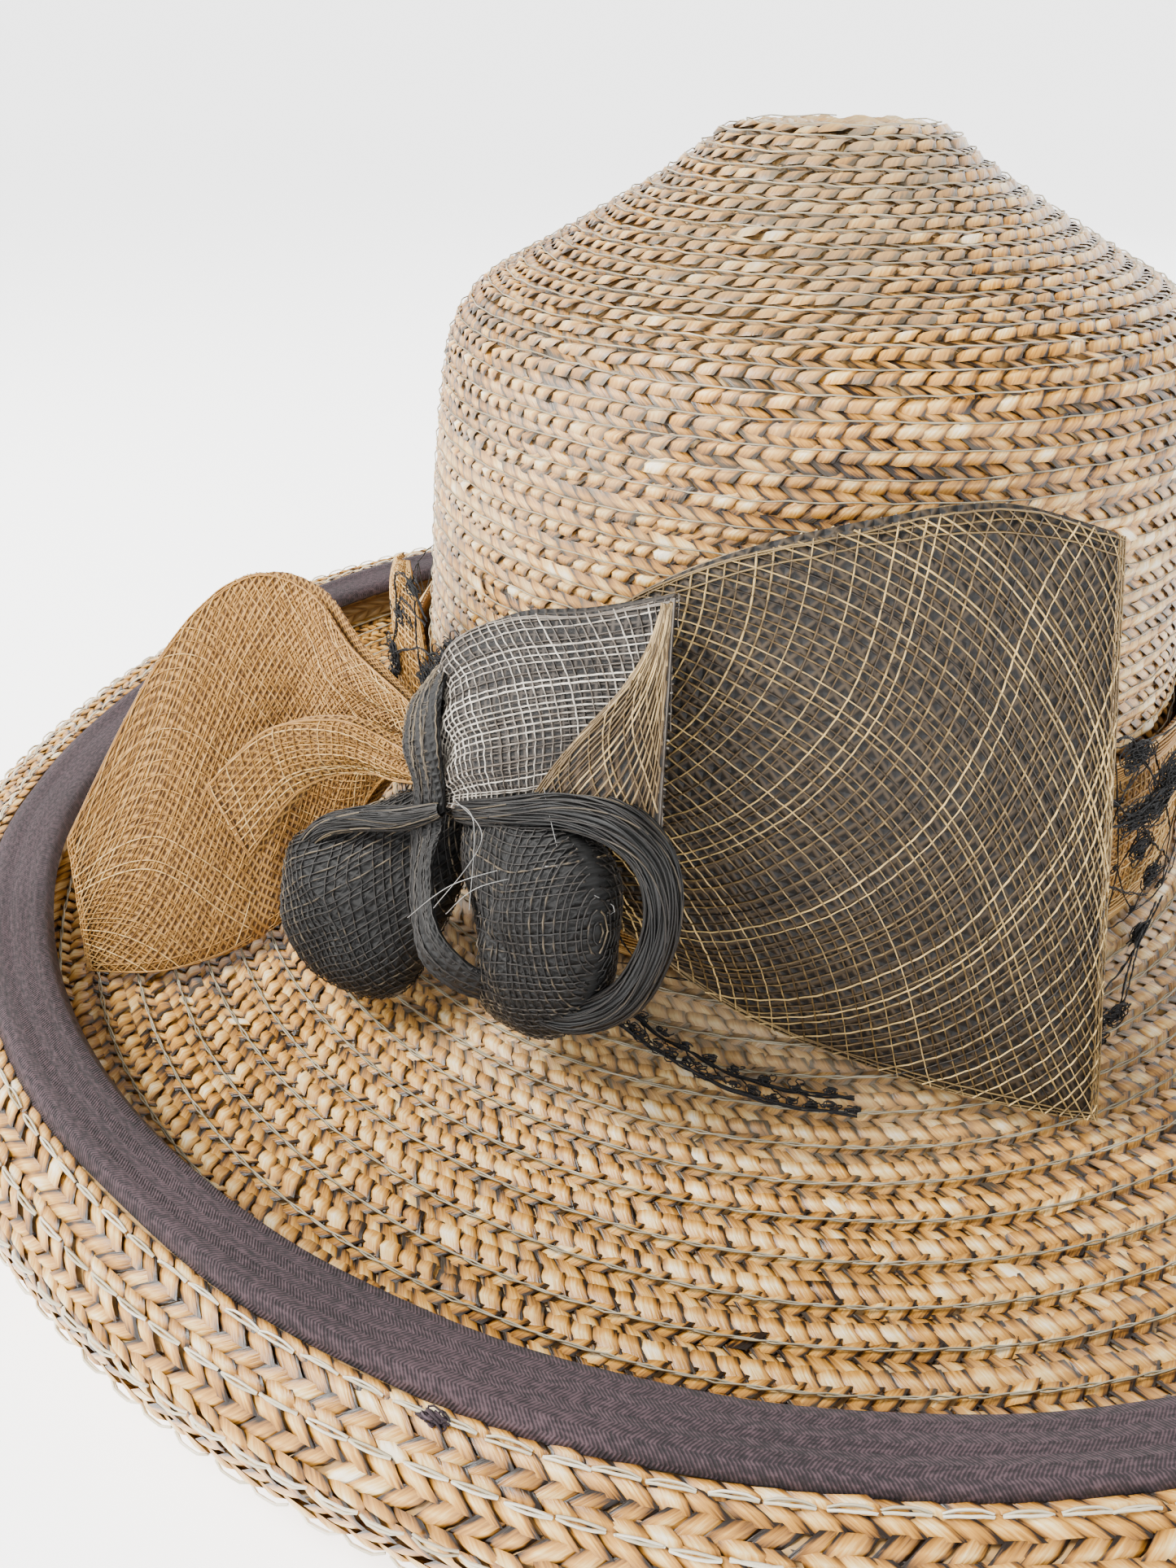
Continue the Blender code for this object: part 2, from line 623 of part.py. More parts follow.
def main():
    """Build every piece of the hat."""
    clear_scene()
    hat = new_collection("straw_hat")
    guides = new_collection("guides")
    straw = material("wheat_straw_plait", (0.58, 0.38, 0.17), 0.5)
    ribbon = material("grosgrain_ribbon", (0.07, 0.04, 0.055), 0.85)
    tan = material("tan_sinamay", (0.45, 0.28, 0.11), 0.6)
    taupe = material("taupe_sinamay", (0.19, 0.13, 0.07), 0.6)
    silver = material("grey_sinamay", (0.40, 0.33, 0.26), 0.6)
    dark = material("black_sinamay", (0.015, 0.013, 0.013), 0.6)
    lace = material("black_lace", (0.004, 0.004, 0.005), 0.9)
    make_crown(straw, hat)
    make_brim(straw, hat)
    make_ribbon(ribbon, hat)
    make_band(tan, hat)
    make_lace(lace, hat)
    plain = material("guide", (0.5, 0.5, 0.5), 1.0)
    knot_room = knot_cutter(plain, guides)
    seat_room = seat_cutter(plain, guides)
    trim(make_knot(dark, hat), seat_room)
    loops = (
        ("bow_fan", FAN_SECTIONS, 7, 6, taupe),
        ("bow_leaf", LEAF_SECTIONS, 6, 5, silver),
        ("bow_wing", WING_SECTIONS, 8, 5, tan),
        ("bow_fold", FOLD_SECTIONS, 5, 4, tan),
    )
    for name, sections, along, across, look in loops:
        trim(make_loop(name, sections, along, across, look, hat), knot_room, seat_room)
    make_strap(dark, hat)
    left = (ROSETTE_LEFT_PLACE, ROSETTE_LEFT_SIZE, ROSETTE_LEFT_ROOT, ROSETTE_LEFT_MOUTH)
    right = (ROSETTE_RIGHT_PLACE, ROSETTE_RIGHT_SIZE, ROSETTE_RIGHT_ROOT, ROSETTE_RIGHT_MOUTH)
    trim(make_rosette("rosette_left", *left, dark, hat), knot_room)
    trim(make_rosette("rosette_right", *right, dark, hat), knot_room)


main()
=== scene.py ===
"""Looks of a straw hat: sewn plait straw by straw, its threads and bound edge, and a sinamay bow over black lace.

Lengths are in metres in the frame's own axes. Azimuths are degrees from the front (-Y), positive towards +X.
"""

import logging
import math
from collections.abc import Callable
from dataclasses import dataclass, field
from enum import Enum

import bmesh
import bpy
import numpy as np
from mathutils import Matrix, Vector

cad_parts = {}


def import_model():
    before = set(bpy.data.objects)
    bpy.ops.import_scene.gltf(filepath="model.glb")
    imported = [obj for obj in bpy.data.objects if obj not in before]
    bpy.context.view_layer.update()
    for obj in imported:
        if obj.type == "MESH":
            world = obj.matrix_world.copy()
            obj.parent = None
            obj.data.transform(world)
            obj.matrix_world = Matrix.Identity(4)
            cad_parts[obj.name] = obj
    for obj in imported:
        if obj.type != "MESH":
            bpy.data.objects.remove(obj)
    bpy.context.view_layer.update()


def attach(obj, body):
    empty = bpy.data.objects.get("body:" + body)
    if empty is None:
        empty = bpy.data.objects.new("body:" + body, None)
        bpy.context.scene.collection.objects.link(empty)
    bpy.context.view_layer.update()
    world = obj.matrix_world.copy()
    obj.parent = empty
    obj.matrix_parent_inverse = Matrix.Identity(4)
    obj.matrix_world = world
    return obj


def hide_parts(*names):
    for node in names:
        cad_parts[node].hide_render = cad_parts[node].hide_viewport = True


LOG = logging.getLogger("straw_hat")
MM = 0.001
BODY = "root"

# The camera, from the photograph's perspective
CAMERA_PLACE = (0.0, -0.273, 0.177)
CAMERA_PITCH = 31.7
CAMERA_YAW = 10.4
FOCAL_PIXELS = 1449.0
LONG_SIDE_PIXELS = 1927.0
SENSOR_MM = 36.0

# Sizes shared by several pieces, as in the solids
HEAD_RADIUS = 0.091
CROWN_RADIUS = 0.0927
CROWN_FOOT = 0.0223
CROWN_HEIGHT = 0.1437
BRIM_RISE = 0.022
BRIM_WALL = 0.002
BRIM_REACH = 0.2034
SEAT_START = 0.157
SEAT_RING = 0.015
ROLL_RUN = 0.033
ROLL_HEIGHT = 0.0242
RIBBON_WIDTH = 0.0115
BAND_HEIGHT = 0.038
BAND_RADIUS = 0.0940
TRIM_REACH = 0.100
TRIM_HEIGHT = 0.100
NET_RADIUS = 0.0970
PLAIT_WIDTH = 5.3 * MM

# Outer face of the crown: share of its radius, share of its height
CROWN_PROFILE = (
    (0.00, 0.992), (0.11, 0.992), (0.22, 0.990), (0.30, 0.958), (0.37, 0.928), (0.45, 0.900), (0.54, 0.868),
    (0.64, 0.834), (0.73, 0.805), (0.79, 0.777), (0.835, 0.733), (0.862, 0.660), (0.884, 0.560),
    (0.900, 0.465), (0.912, 0.372), (0.932, 0.256), (0.957, 0.137), (0.980, 0.054), (1.000, 0.000),
)

# Middle of the brim's wall on the slope: share of the run to the seat ring, share of the rise
SLOPE_PROFILE = (
    (0.000, 1.00), (0.070, 0.985), (0.155, 0.775), (0.245, 0.600), (0.395, 0.400), (0.590, 0.215),
    (0.830, 0.060), (1.000, 0.000),
)

# Middle of the brim's wall in the roll: share of the roll's run inwards of the reach, share of its height
ROLL_PROFILE = (
    (0.640, 0.020), (0.370, 0.105), (0.120, 0.290), (0.000, 0.520), (0.040, 0.780), (0.205, 0.945),
    (0.400, 0.985), (0.570, 0.950), (0.730, 0.890),
)

# Height of the roll round the brim: azimuth, share of the height at the front
ROLL_ROUND = (
    (-180.0, 0.60), (-125.0, 0.63), (-92.0, 0.58), (-60.0, 0.88), (-30.0, 1.00), (30.0, 1.00),
    (60.0, 0.90), (92.0, 0.68), (125.0, 0.62), (180.0, 0.60),
)

# Sections of the loops, from the knot to the fold: azimuth, reach and height shares of the lower edge,
# the same of the upper edge, and how far the loop is puffed open
FAN_SECTIONS = (
    (-32.0, 1.040, 0.560, -32.0, 1.035, 0.650, 0.012),
    (-25.0, 1.020, 0.440, -25.5, 1.015, 0.790, 0.014),
    (-14.0, 1.030, 0.370, -17.0, 0.990, 0.985, 0.030),
    (-2.0, 1.045, 0.250, -6.0, 0.975, 1.100, 0.045),
    (10.0, 1.100, 0.195, 7.0, 0.965, 1.165, 0.045),
    (21.0, 1.190, 0.165, 19.0, 0.970, 1.190, 0.040),
    (30.0, 1.265, 0.135, 30.0, 0.995, 1.140, 0.025),
)
LEAF_SECTIONS = (
    (-32.0, 1.130, 0.580, -34.5, 1.080, 0.680, 0.022),
    (-26.0, 1.160, 0.635, -35.5, 1.045, 0.840, 0.034),
    (-20.0, 1.180, 0.690, -27.0, 1.045, 0.955, 0.040),
    (-13.5, 1.195, 0.745, -18.0, 1.050, 1.005, 0.040),
    (-8.0, 1.210, 0.705, -9.5, 1.055, 1.060, 0.026),
)
WING_SECTIONS = (
    (-36.5, 1.050, 0.570, -36.5, 1.045, 0.650, 0.012),
    (-44.0, 1.045, 0.530, -45.0, 1.040, 0.680, 0.012),
    (-52.5, 1.075, 0.400, -54.0, 1.080, 0.725, 0.024),
    (-55.0, 1.200, 0.200, -65.0, 1.130, 0.780, 0.034),
    (-52.5, 1.390, 0.105, -68.5, 1.270, 0.800, 0.046),
    (-53.0, 1.570, 0.070, -66.5, 1.460, 0.660, 0.044),
    (-56.0, 1.735, 0.060, -61.5, 1.725, 0.300, 0.022),
)
FOLD_SECTIONS = (
    (-36.0, 1.100, 0.580, -36.5, 1.095, 0.620, 0.010),
    (-41.0, 1.110, 0.545, -41.5, 1.105, 0.625, 0.012),
    (-46.5, 1.150, 0.530, -47.0, 1.170, 0.650, 0.022),
    (-50.5, 1.250, 0.470, -52.0, 1.290, 0.610, 0.026),
    (-51.5, 1.370, 0.330, -54.5, 1.420, 0.480, 0.020),
)

# Strap: azimuth, reach past the knot's front as a share of its depth, height share, half its width as a share
STRAP_SECTIONS = (
    (-37.5, -0.620, 0.800, 0.050),
    (-36.0, -0.250, 0.765, 0.060),
    (-34.0, 0.000, 0.700, 0.056),
    (-32.8, 0.050, 0.620, 0.040),
    (-32.0, 0.200, 0.535, 0.044),
    (-29.0, 0.600, 0.475, 0.046),
    (-25.0, 0.930, 0.420, 0.045),
    (-21.0, 0.700, 0.350, 0.038),
    (-18.5, 0.000, 0.310, 0.030),
)
STRAP_SEAT = 0.1138
KNOT_PLACE = (-32.5, 1.030, 0.610)
KNOT_SIZE = (0.0175, 0.019, 0.019)

# Rolled rims of the rosettes: azimuth, radius and height in millimetres
RIM_RIGHT = (
    (-30.5, 111.0, 57.0), (-26.0, 114.5, 62.0), (-21.2, 117.0, 67.0), (-15.9, 118.0, 71.5), (-11.7, 119.0, 72.0),
    (-8.6, 121.0, 69.0), (-7.2, 123.0, 62.0), (-7.4, 125.0, 53.0), (-9.4, 127.0, 43.0), (-13.5, 128.0, 36.5),
    (-18.1, 127.0, 35.5), (-22.0, 125.0, 38.0),
)
RIM_LEFT = (
    (-33.5, 111.5, 55.0), (-37.0, 115.0, 51.5), (-41.5, 119.0, 48.5), (-46.0, 123.0, 43.0), (-48.8, 126.0, 34.0),
    (-48.0, 127.5, 25.0), (-44.0, 128.0, 18.5), (-38.5, 127.0, 16.5),
)

# Clumps of the lace: azimuth, radius, height and size in millimetres
LACE_KNOTS = (
    (41.1, 98.0, 69.0, 4.5), (48.1, 98.0, 54.5, 5.0), (43.6, 98.0, 54.0, 4.5), (50.5, 98.0, 60.0, 6.0),
    (35.6, 98.0, 56.6, 4.0), (37.8, 98.0, 44.0, 4.0), (47.7, 98.0, 45.0, 4.0), (53.0, 98.0, 34.0, 4.0),
    (36.6, 111.0, 19.0, 3.2), (39.0, 111.0, 18.5, 3.0), (34.6, 114.5, 17.5, 3.0), (50.0, 101.0, 23.5, 3.2),
    (-48.5, 98.0, 88.0, 3.0), (-52.5, 98.5, 80.0, 4.0), (-56.5, 98.5, 68.0, 5.0), (-47.4, 97.5, 69.5, 4.0),
    (-42.7, 97.5, 74.0, 5.0), (-40.7, 97.0, 78.0, 4.5), (-52.0, 98.5, 57.0, 4.5), (-44.0, 99.0, 65.6, 4.5),
    (-60.0, 98.0, 58.0, 5.0),
)
LACE_CORDS = (
    ((33.0, 98.0, 73.0), (36.0, 98.2, 74.5), (38.6, 98.0, 74.5), (40.9, 98.0, 70.2), (45.8, 98.0, 61.4)),
    ((33.0, 98.0, 69.5), (37.0, 98.4, 63.5), (41.1, 98.2, 57.5), (44.0, 98.0, 54.0)),
    ((34.0, 98.0, 57.0), (38.0, 98.4, 56.0), (43.0, 98.2, 54.5), (50.0, 98.0, 60.0)),
    ((37.8, 98.0, 44.0), (41.0, 98.6, 41.0), (46.0, 98.4, 35.5), (53.0, 98.0, 29.0)),
    ((46.0, 98.0, 51.0), (50.0, 98.4, 44.0), (54.0, 98.2, 39.0), (58.0, 98.0, 33.0)),
    ((56.0, 99.5, 27.0), (51.0, 101.0, 24.0), (44.0, 104.0, 22.0), (38.3, 107.0, 21.0), (36.6, 111.0, 19.0)),
    ((54.0, 99.5, 27.0), (48.0, 102.0, 24.0), (43.0, 106.0, 21.5), (39.0, 111.0, 18.5)),
    ((50.0, 101.0, 23.5), (46.0, 104.0, 22.5), (42.0, 108.0, 20.5), (39.0, 111.0, 18.5)),
    ((-44.0, 98.5, 84.0), (-47.0, 99.5, 91.0), (-50.5, 99.5, 89.5), (-53.0, 98.5, 80.0), (-56.5, 98.5, 68.0)),
    ((-45.0, 98.0, 82.0), (-48.0, 98.8, 84.5), (-51.0, 98.8, 84.0), (-54.0, 98.5, 74.0)),
    ((-47.4, 98.0, 86.0), (-47.0, 98.6, 77.0), (-46.5, 98.4, 70.0), (-44.0, 99.0, 65.6)),
    ((-56.5, 98.5, 68.0), (-52.0, 99.0, 72.0), (-47.0, 98.6, 76.0), (-42.7, 97.5, 76.0)),
)
LACE_EDGE = (
    (-16.0, 105.0, 21.5), (-12.5, 106.5, 20.5), (-9.0, 108.5, 19.0), (-5.5, 110.5, 18.0), (-2.0, 112.5, 17.0),
    (2.0, 114.0, 16.2), (6.0, 115.0, 15.8), (10.0, 115.5, 15.5),
)

# Upright pleat of the band beside the knot: azimuth and height of its left edge, the same of its right edge
BAND_PLEAT = (
    (-60.0, 60.0, -45.5, 60.0), (-59.5, 72.0, -47.0, 70.0), (-58.6, 82.0, -48.0, 80.0), (-54.5, 90.0, -49.0, 88.0),
    (-51.0, 93.0, -49.8, 92.7),
)

# Loose curls and hairs of the bow: azimuth, radius, height, then size and number, or three places of a hair
BOW_CURLS = (
    (-14.5, 127.5, 66.0, 2.6, 7), (-12.6, 127.5, 63.5, 2.3, 7), (-13.2, 128.5, 60.0, 1.6, 4),
    (-7.8, 127.5, 57.0, 1.8, 4), (-11.0, 127.0, 61.0, 1.5, 3),
)
BOW_HAIRS = (
    ((-30.0, 114.0, 62.0), (-22.0, 125.0, 66.0), (-25.0, 131.0, 52.0)),
    ((-31.0, 114.0, 60.0), (-24.0, 122.0, 66.5), (-21.5, 131.0, 55.0)),
    ((-19.0, 124.0, 62.0), (-22.5, 132.0, 60.0), (-27.0, 133.0, 49.0)),
    ((-17.0, 124.0, 62.0), (-20.0, 132.5, 62.0), (-23.0, 133.0, 54.0)),
    ((-18.0, 119.0, 76.0), (-16.5, 123.0, 74.0), (-14.5, 127.0, 67.0)),
)

Points = np.ndarray
Surface = Callable[[np.ndarray, np.ndarray, np.ndarray], tuple[np.ndarray, np.ndarray]]


class Side(Enum):
    """Which face of a wall a skin lies on."""

    TOP = 1.0
    UNDER = -1.0


def linear(code: str) -> tuple[float, ...]:
    """Turn an sRGB hex code into linear red, green, blue and alpha."""
    values = [int(code[i:i + 2], 16) / 255.0 for i in (0, 2, 4)]
    return tuple(v / 12.92 if v <= 0.04045 else ((v + 0.055) / 1.055) ** 2.4 for v in values) + (1.0,)


@dataclass
class Recipe:
    """A material's node tree and the few moves that its finish needs."""

    name: str
    material: bpy.types.Material = field(init=False)
    tree: bpy.types.NodeTree = field(init=False)
    shader: bpy.types.Node = field(init=False)

    def __post_init__(self) -> None:
        """Start with a Principled shader alone."""
        self.material = bpy.data.materials.new(self.name)
        self.material.use_nodes = True
        self.tree = self.material.node_tree
        self.tree.nodes.clear()
        self.shader = self.node("ShaderNodeBsdfPrincipled")
        self.node("ShaderNodeOutputMaterial", {"Surface": self.shader.outputs[0]})

    def node(self, kind: str, inputs: dict | None = None, **settings: object) -> bpy.types.Node:
        """Add a node with its settings, and set or link its inputs.

        Args:
            kind: the node's type.
            inputs: input name or index to a value or to an output socket.
            **settings: attributes of the node.

        Returns:
            The new node.
        """
        made = self.tree.nodes.new(kind)
        for name, value in settings.items():
            setattr(made, name, value)
        for name, value in (inputs or {}).items():
            if isinstance(value, bpy.types.NodeSocket):
                self.tree.links.new(value, made.inputs[name])
            else:
                made.inputs[name].default_value = value
        return made

    def math(self, operation: str, *values: object) -> bpy.types.NodeSocket:
        """A Math node's result."""
        return self.node("ShaderNodeMath", dict(enumerate(values)), operation=operation).outputs[0]

    def noise(self, vector: bpy.types.NodeSocket, scale: float, detail: float = 3.0) -> bpy.types.NodeSocket:
        """A noise texture's value."""
        inputs = {"Vector": vector, "Scale": scale, "Detail": detail}
        return self.node("ShaderNodeTexNoise", inputs).outputs["Fac"]

    def spot(self, kind: str) -> bpy.types.NodeSocket:
        """A texture coordinate, UV or Object."""
        return self.node("ShaderNodeTexCoord").outputs[kind]

    def value(self, label: str) -> bpy.types.NodeSocket:
        """A value stored on the mesh."""
        return self.node("ShaderNodeAttribute", attribute_name=label).outputs["Fac"]

    def ramp(self, factor: bpy.types.NodeSocket, stops: tuple[tuple[float, str], ...]) -> bpy.types.NodeSocket:
        """A colour ramp over a factor."""
        made = self.node("ShaderNodeValToRGB", {"Fac": factor})
        points = made.color_ramp.elements
        while len(points) < len(stops):
            points.new(0.5)
        for point, (place, colour) in zip(points, stops):
            point.position = place
            point.color = linear(colour)
        return made.outputs["Color"]

    def finish(self, colour: bpy.types.NodeSocket, roughness: float, relief: bpy.types.NodeSocket,
               strength: float, depth: float) -> bpy.types.Material:
        """Set the colour, the gloss and the relief.

        Args:
            colour: the base colour.
            roughness: the gloss, uniform.
            relief: the bump's height.
            strength: the bump's strength.
            depth: the bump's depth in metres.

        Returns:
            The finished material.
        """
        self.tree.links.new(colour, self.shader.inputs["Base Color"])
        self.shader.inputs["Roughness"].default_value = roughness
        bump = self.node("ShaderNodeBump", {"Height": relief, "Strength": strength, "Distance": depth})
        self.tree.links.new(bump.outputs[0], self.shader.inputs["Normal"])
        return self.material


@dataclass(frozen=True)
class StrawFinish:
    """Wheat straw, split, flattened and plaited: satin, with fibre lines, pale on top, and darkened through honey
    in the folds to the gap colour at each straw's edges, which is painted shade between the straws.
    """

    name: str = "wheat_straw_split_plait"
    # The gap colour is painted shade between the straws.
    gap: str = "1C1006"
    honey: str = "8A5A1C"
    mid: str = "C48C38"
    pale: str = "E6C27C"
    bleached: str = "F8EBCF"
    grey: str = "94866F"
    fibres: float = 9.0
    roughness: float = 0.36
    greying: float = 0.62

    def build(self) -> bpy.types.Material:
        """Tone comes from a value stored on each straw, which also holds painted shade towards its edges, and
        fibre lines from its UV map.
        """
        recipe = Recipe(self.name)
        stretch = {"Vector": recipe.spot("UV"), "Scale": (1.1, self.fibres, 1.0)}
        fibre = recipe.noise(recipe.node("ShaderNodeMapping", stretch).outputs[0], 1.0, 4.0)
        patch = recipe.noise(recipe.spot("Object"), 160.0, 2.0)
        shade = recipe.math("MULTIPLY_ADD", fibre, 0.80, recipe.value("tone"))
        shade = recipe.math("MULTIPLY_ADD", patch, 0.30, shade)
        shade = recipe.math("SUBTRACT", shade, 0.53)
        stops = ((0.0, self.gap), (0.20, self.honey), (0.46, self.mid), (0.70, self.pale), (0.95, self.bleached))
        share = recipe.math("MULTIPLY", recipe.value("weather"), self.greying)
        mix = {"Factor": share, 6: recipe.ramp(shade, stops), 7: linear(self.grey)}
        weathered = recipe.node("ShaderNodeMix", mix, data_type="RGBA").outputs[2]
        return recipe.finish(weathered, self.roughness, fibre, 0.6, 0.30 * MM)


@dataclass(frozen=True)
class BackPlaitFinish:
    """The wrong side of the sewn plait, seen inside the head and under the brim: rows of chevrons, with painted
    shade in their grooves.
    """

    name: str = "straw_plait_wrong_side"
    dark: str = "5C3D1C"
    mid: str = "B98F54"
    pale: str = "D9BA86"
    row: float = 5.4 * MM
    straw: float = 4.0 * MM

    def build(self) -> bpy.types.Material:
        """The pattern follows a UV map in metres round and across the rows."""
        recipe = Recipe(self.name)
        spot = recipe.spot("UV")
        parts = recipe.node("ShaderNodeSeparateXYZ", {0: spot})
        fold = recipe.math("PINGPONG", recipe.math("MULTIPLY", parts.outputs[1], 1.0 / self.row), 1.0)
        run = recipe.math("MULTIPLY", parts.outputs[0], 1.0 / self.straw)
        straw = recipe.math("PINGPONG", recipe.math("ADD", run, fold), 0.5)
        relief = recipe.math("MINIMUM", straw, recipe.math("PINGPONG", fold, 0.5))
        level = recipe.math("MULTIPLY_ADD", recipe.noise(spot, 380.0), 0.5, relief)
        # Darker where the relief is low, in the grooves: painted shade between the straws.
        colour = recipe.ramp(level, ((0.1, self.dark), (0.38, self.mid), (0.8, self.pale)))
        return recipe.finish(colour, 0.55, relief, 0.9, 1.0 * MM)


@dataclass(frozen=True)
class StrandFinish:
    """Fibre strands, woven, twisted or sewn: each strand has its own tone, in places with painted light and shade
    added, and the cloth has patches.
    """

    name: str
    low: str
    middle: str
    high: str
    roughness: float = 0.5
    patch_scale: float = 60.0
    patch_share: float = 0.5

    def build(self) -> bpy.types.Material:
        """Tone comes from a value stored on each strand, with patches over the cloth."""
        recipe = Recipe(self.name)
        place = recipe.spot("Object")
        patch = recipe.noise(place, self.patch_scale)
        shade = recipe.math("MULTIPLY_ADD", patch, self.patch_share, recipe.value("tone"))
        shade = recipe.math("SUBTRACT", shade, self.patch_share / 2)
        colour = recipe.ramp(shade, ((0.0, self.low), (0.5, self.middle), (1.0, self.high)))
        return recipe.finish(colour, self.roughness, recipe.noise(place, 2600.0, 2.0), 0.3, 0.1 * MM)


@dataclass(frozen=True)
class NetFinish:
    """The second layer of an open weave, seen between the strands of the first: strands over dark gaps, which are
    painted shade in the weave's holes.
    """

    name: str
    # The gap colour is painted shade seen through the weave's holes.
    gap: str
    strand: str
    bright: str
    spacing: float = 1.5 * MM
    angle: float = 45.0
    edge: float = 0.35

    def build(self) -> bpy.types.Material:
        """The weave follows a UV map in metres of cloth."""
        recipe = Recipe(self.name)
        turn = {"Vector": recipe.spot("UV"), "Rotation": (0.0, 0.0, math.radians(self.angle))}
        spot = recipe.node("ShaderNodeMapping", turn).outputs[0]
        parts = recipe.node("ShaderNodeSeparateXYZ", {0: spot})
        waves = []
        for axis in (0, 1):
            turns = recipe.math("MULTIPLY", parts.outputs[axis], math.tau / self.spacing)
            waves.append(recipe.math("SINE", turns))
        weave = recipe.math("MAXIMUM", *waves)
        mottle = recipe.math("MULTIPLY_ADD", recipe.noise(recipe.spot("Object"), 90.0), 0.5, weave)
        level = recipe.math("MULTIPLY_ADD", mottle, 0.5, 0.1)
        colour = recipe.ramp(level, ((self.edge, self.gap), (self.edge + 0.15, self.strand), (0.95, self.bright)))
        return recipe.finish(colour, 0.7, weave, 0.7, 0.3 * MM)


@dataclass(frozen=True)
class RibbonFinish:
    """Herringbone cotton ribbon, dyed purple-brown: fine slanted floats with paler fibres."""

    name: str = "herringbone_cotton_ribbon"
    low: str = "0B0608"
    middle: str = "20141A"
    high: str = "4E3B41"
    rib: float = 0.62 * MM
    stripe: float = 3.1 * MM

    def build(self) -> bpy.types.Material:
        """The twill follows a UV map in metres along and across the ribbon."""
        recipe = Recipe(self.name)
        spot = recipe.spot("UV")
        parts = recipe.node("ShaderNodeSeparateXYZ", {0: spot})
        zigzag = recipe.math("PINGPONG", recipe.math("MULTIPLY", parts.outputs[1], 1.0 / self.stripe), 0.5)
        lean = recipe.math("MULTIPLY", zigzag, self.stripe / self.rib)
        run = recipe.math("MULTIPLY_ADD", parts.outputs[0], 1.0 / self.rib, lean)
        rib = recipe.math("MULTIPLY", recipe.math("PINGPONG", run, 0.5), 2.0)
        stretch = recipe.node("ShaderNodeMapping", {"Vector": spot, "Scale": (620.0, 1900.0, 1.0)})
        level = recipe.math("MULTIPLY_ADD", rib, 0.35, recipe.noise(stretch.outputs[0], 1.0))
        level = recipe.math("MULTIPLY_ADD", recipe.noise(recipe.spot("Object"), 45.0), 0.25, level)
        colour = recipe.ramp(level, ((0.42, self.low), (0.72, self.middle), (1.0, self.high)))
        recipe.shader.inputs["Sheen Weight"].default_value = 0.03
        return recipe.finish(colour, 0.85, level, 0.9, 0.4 * MM)


def polar(azimuth: Points | float, radius: Points | float, height: Points | float) -> Points:
    """Points from azimuths in degrees, radii and heights in metres."""
    turn = np.radians(azimuth)
    radius, height = np.broadcast_arrays(radius, height)
    return np.stack((radius * np.sin(turn), -radius * np.cos(turn), height + 0.0 * turn), axis=-1)


def trim_place(place: tuple[float, float, float]) -> Points:
    """A point of the bow from its azimuth and its shares of the bow's reach and height."""
    return polar(place[0], place[1] * TRIM_REACH, place[2] * TRIM_HEIGHT)


def spline(rows: tuple, share: Points) -> Points:
    """Read a table on a smooth curve through its rows.

    Args:
        rows: the table's rows.
        share: places from 0 at the first row to 1 at the last.

    Returns:
        One row of values for each place.
    """
    table = np.array(rows, dtype=float)
    last = len(table) - 1
    place = np.clip(np.asarray(share, dtype=float), 0.0, 1.0) * last
    index = np.minimum(place.astype(int), last - 1)
    t = (place - index)[..., None]
    a = table[np.maximum(index - 1, 0)]
    b = table[index]
    c = table[index + 1]
    d = table[np.minimum(index + 2, last)]
    return 0.5 * (2 * b + (c - a) * t + (2 * a - 5 * b + 4 * c - d) * t**2 + (3 * b - a - 3 * c + d) * t**3)


def table_points(rows: tuple, count: int) -> Points:
    """Points on a smooth curve through rows of azimuth, radius and height in millimetres."""
    read = spline(rows, np.linspace(0, 1, count))
    return polar(read[:, 0], read[:, 1] * MM, read[:, 2] * MM)


def unit(vectors: Points) -> Points:
    """Vectors made one long."""
    return vectors / np.maximum(np.linalg.norm(vectors, axis=-1, keepdims=True), 1e-9)


def outwards(points: Points) -> Points:
    """Level directions away from the hat's axis."""
    flat = points.copy()
    flat[..., 2] = 0.0
    return unit(flat)


def roll_share(azimuth: Points) -> Points:
    """How high the roll stands at azimuths in degrees, as a share of its height at the front."""
    turns = np.array([row[0] for row in ROLL_ROUND])
    shares = np.array([row[1] for row in ROLL_ROUND])
    spot = (np.asarray(azimuth, dtype=float) + 180.0) % 360.0 - 180.0
    index = np.clip(np.searchsorted(turns, spot) - 1, 0, len(turns) - 2)
    t = (spot - turns[index]) / (turns[index + 1] - turns[index])
    return shares[index] + (shares[index + 1] - shares[index]) * t * t * (3 - 2 * t)


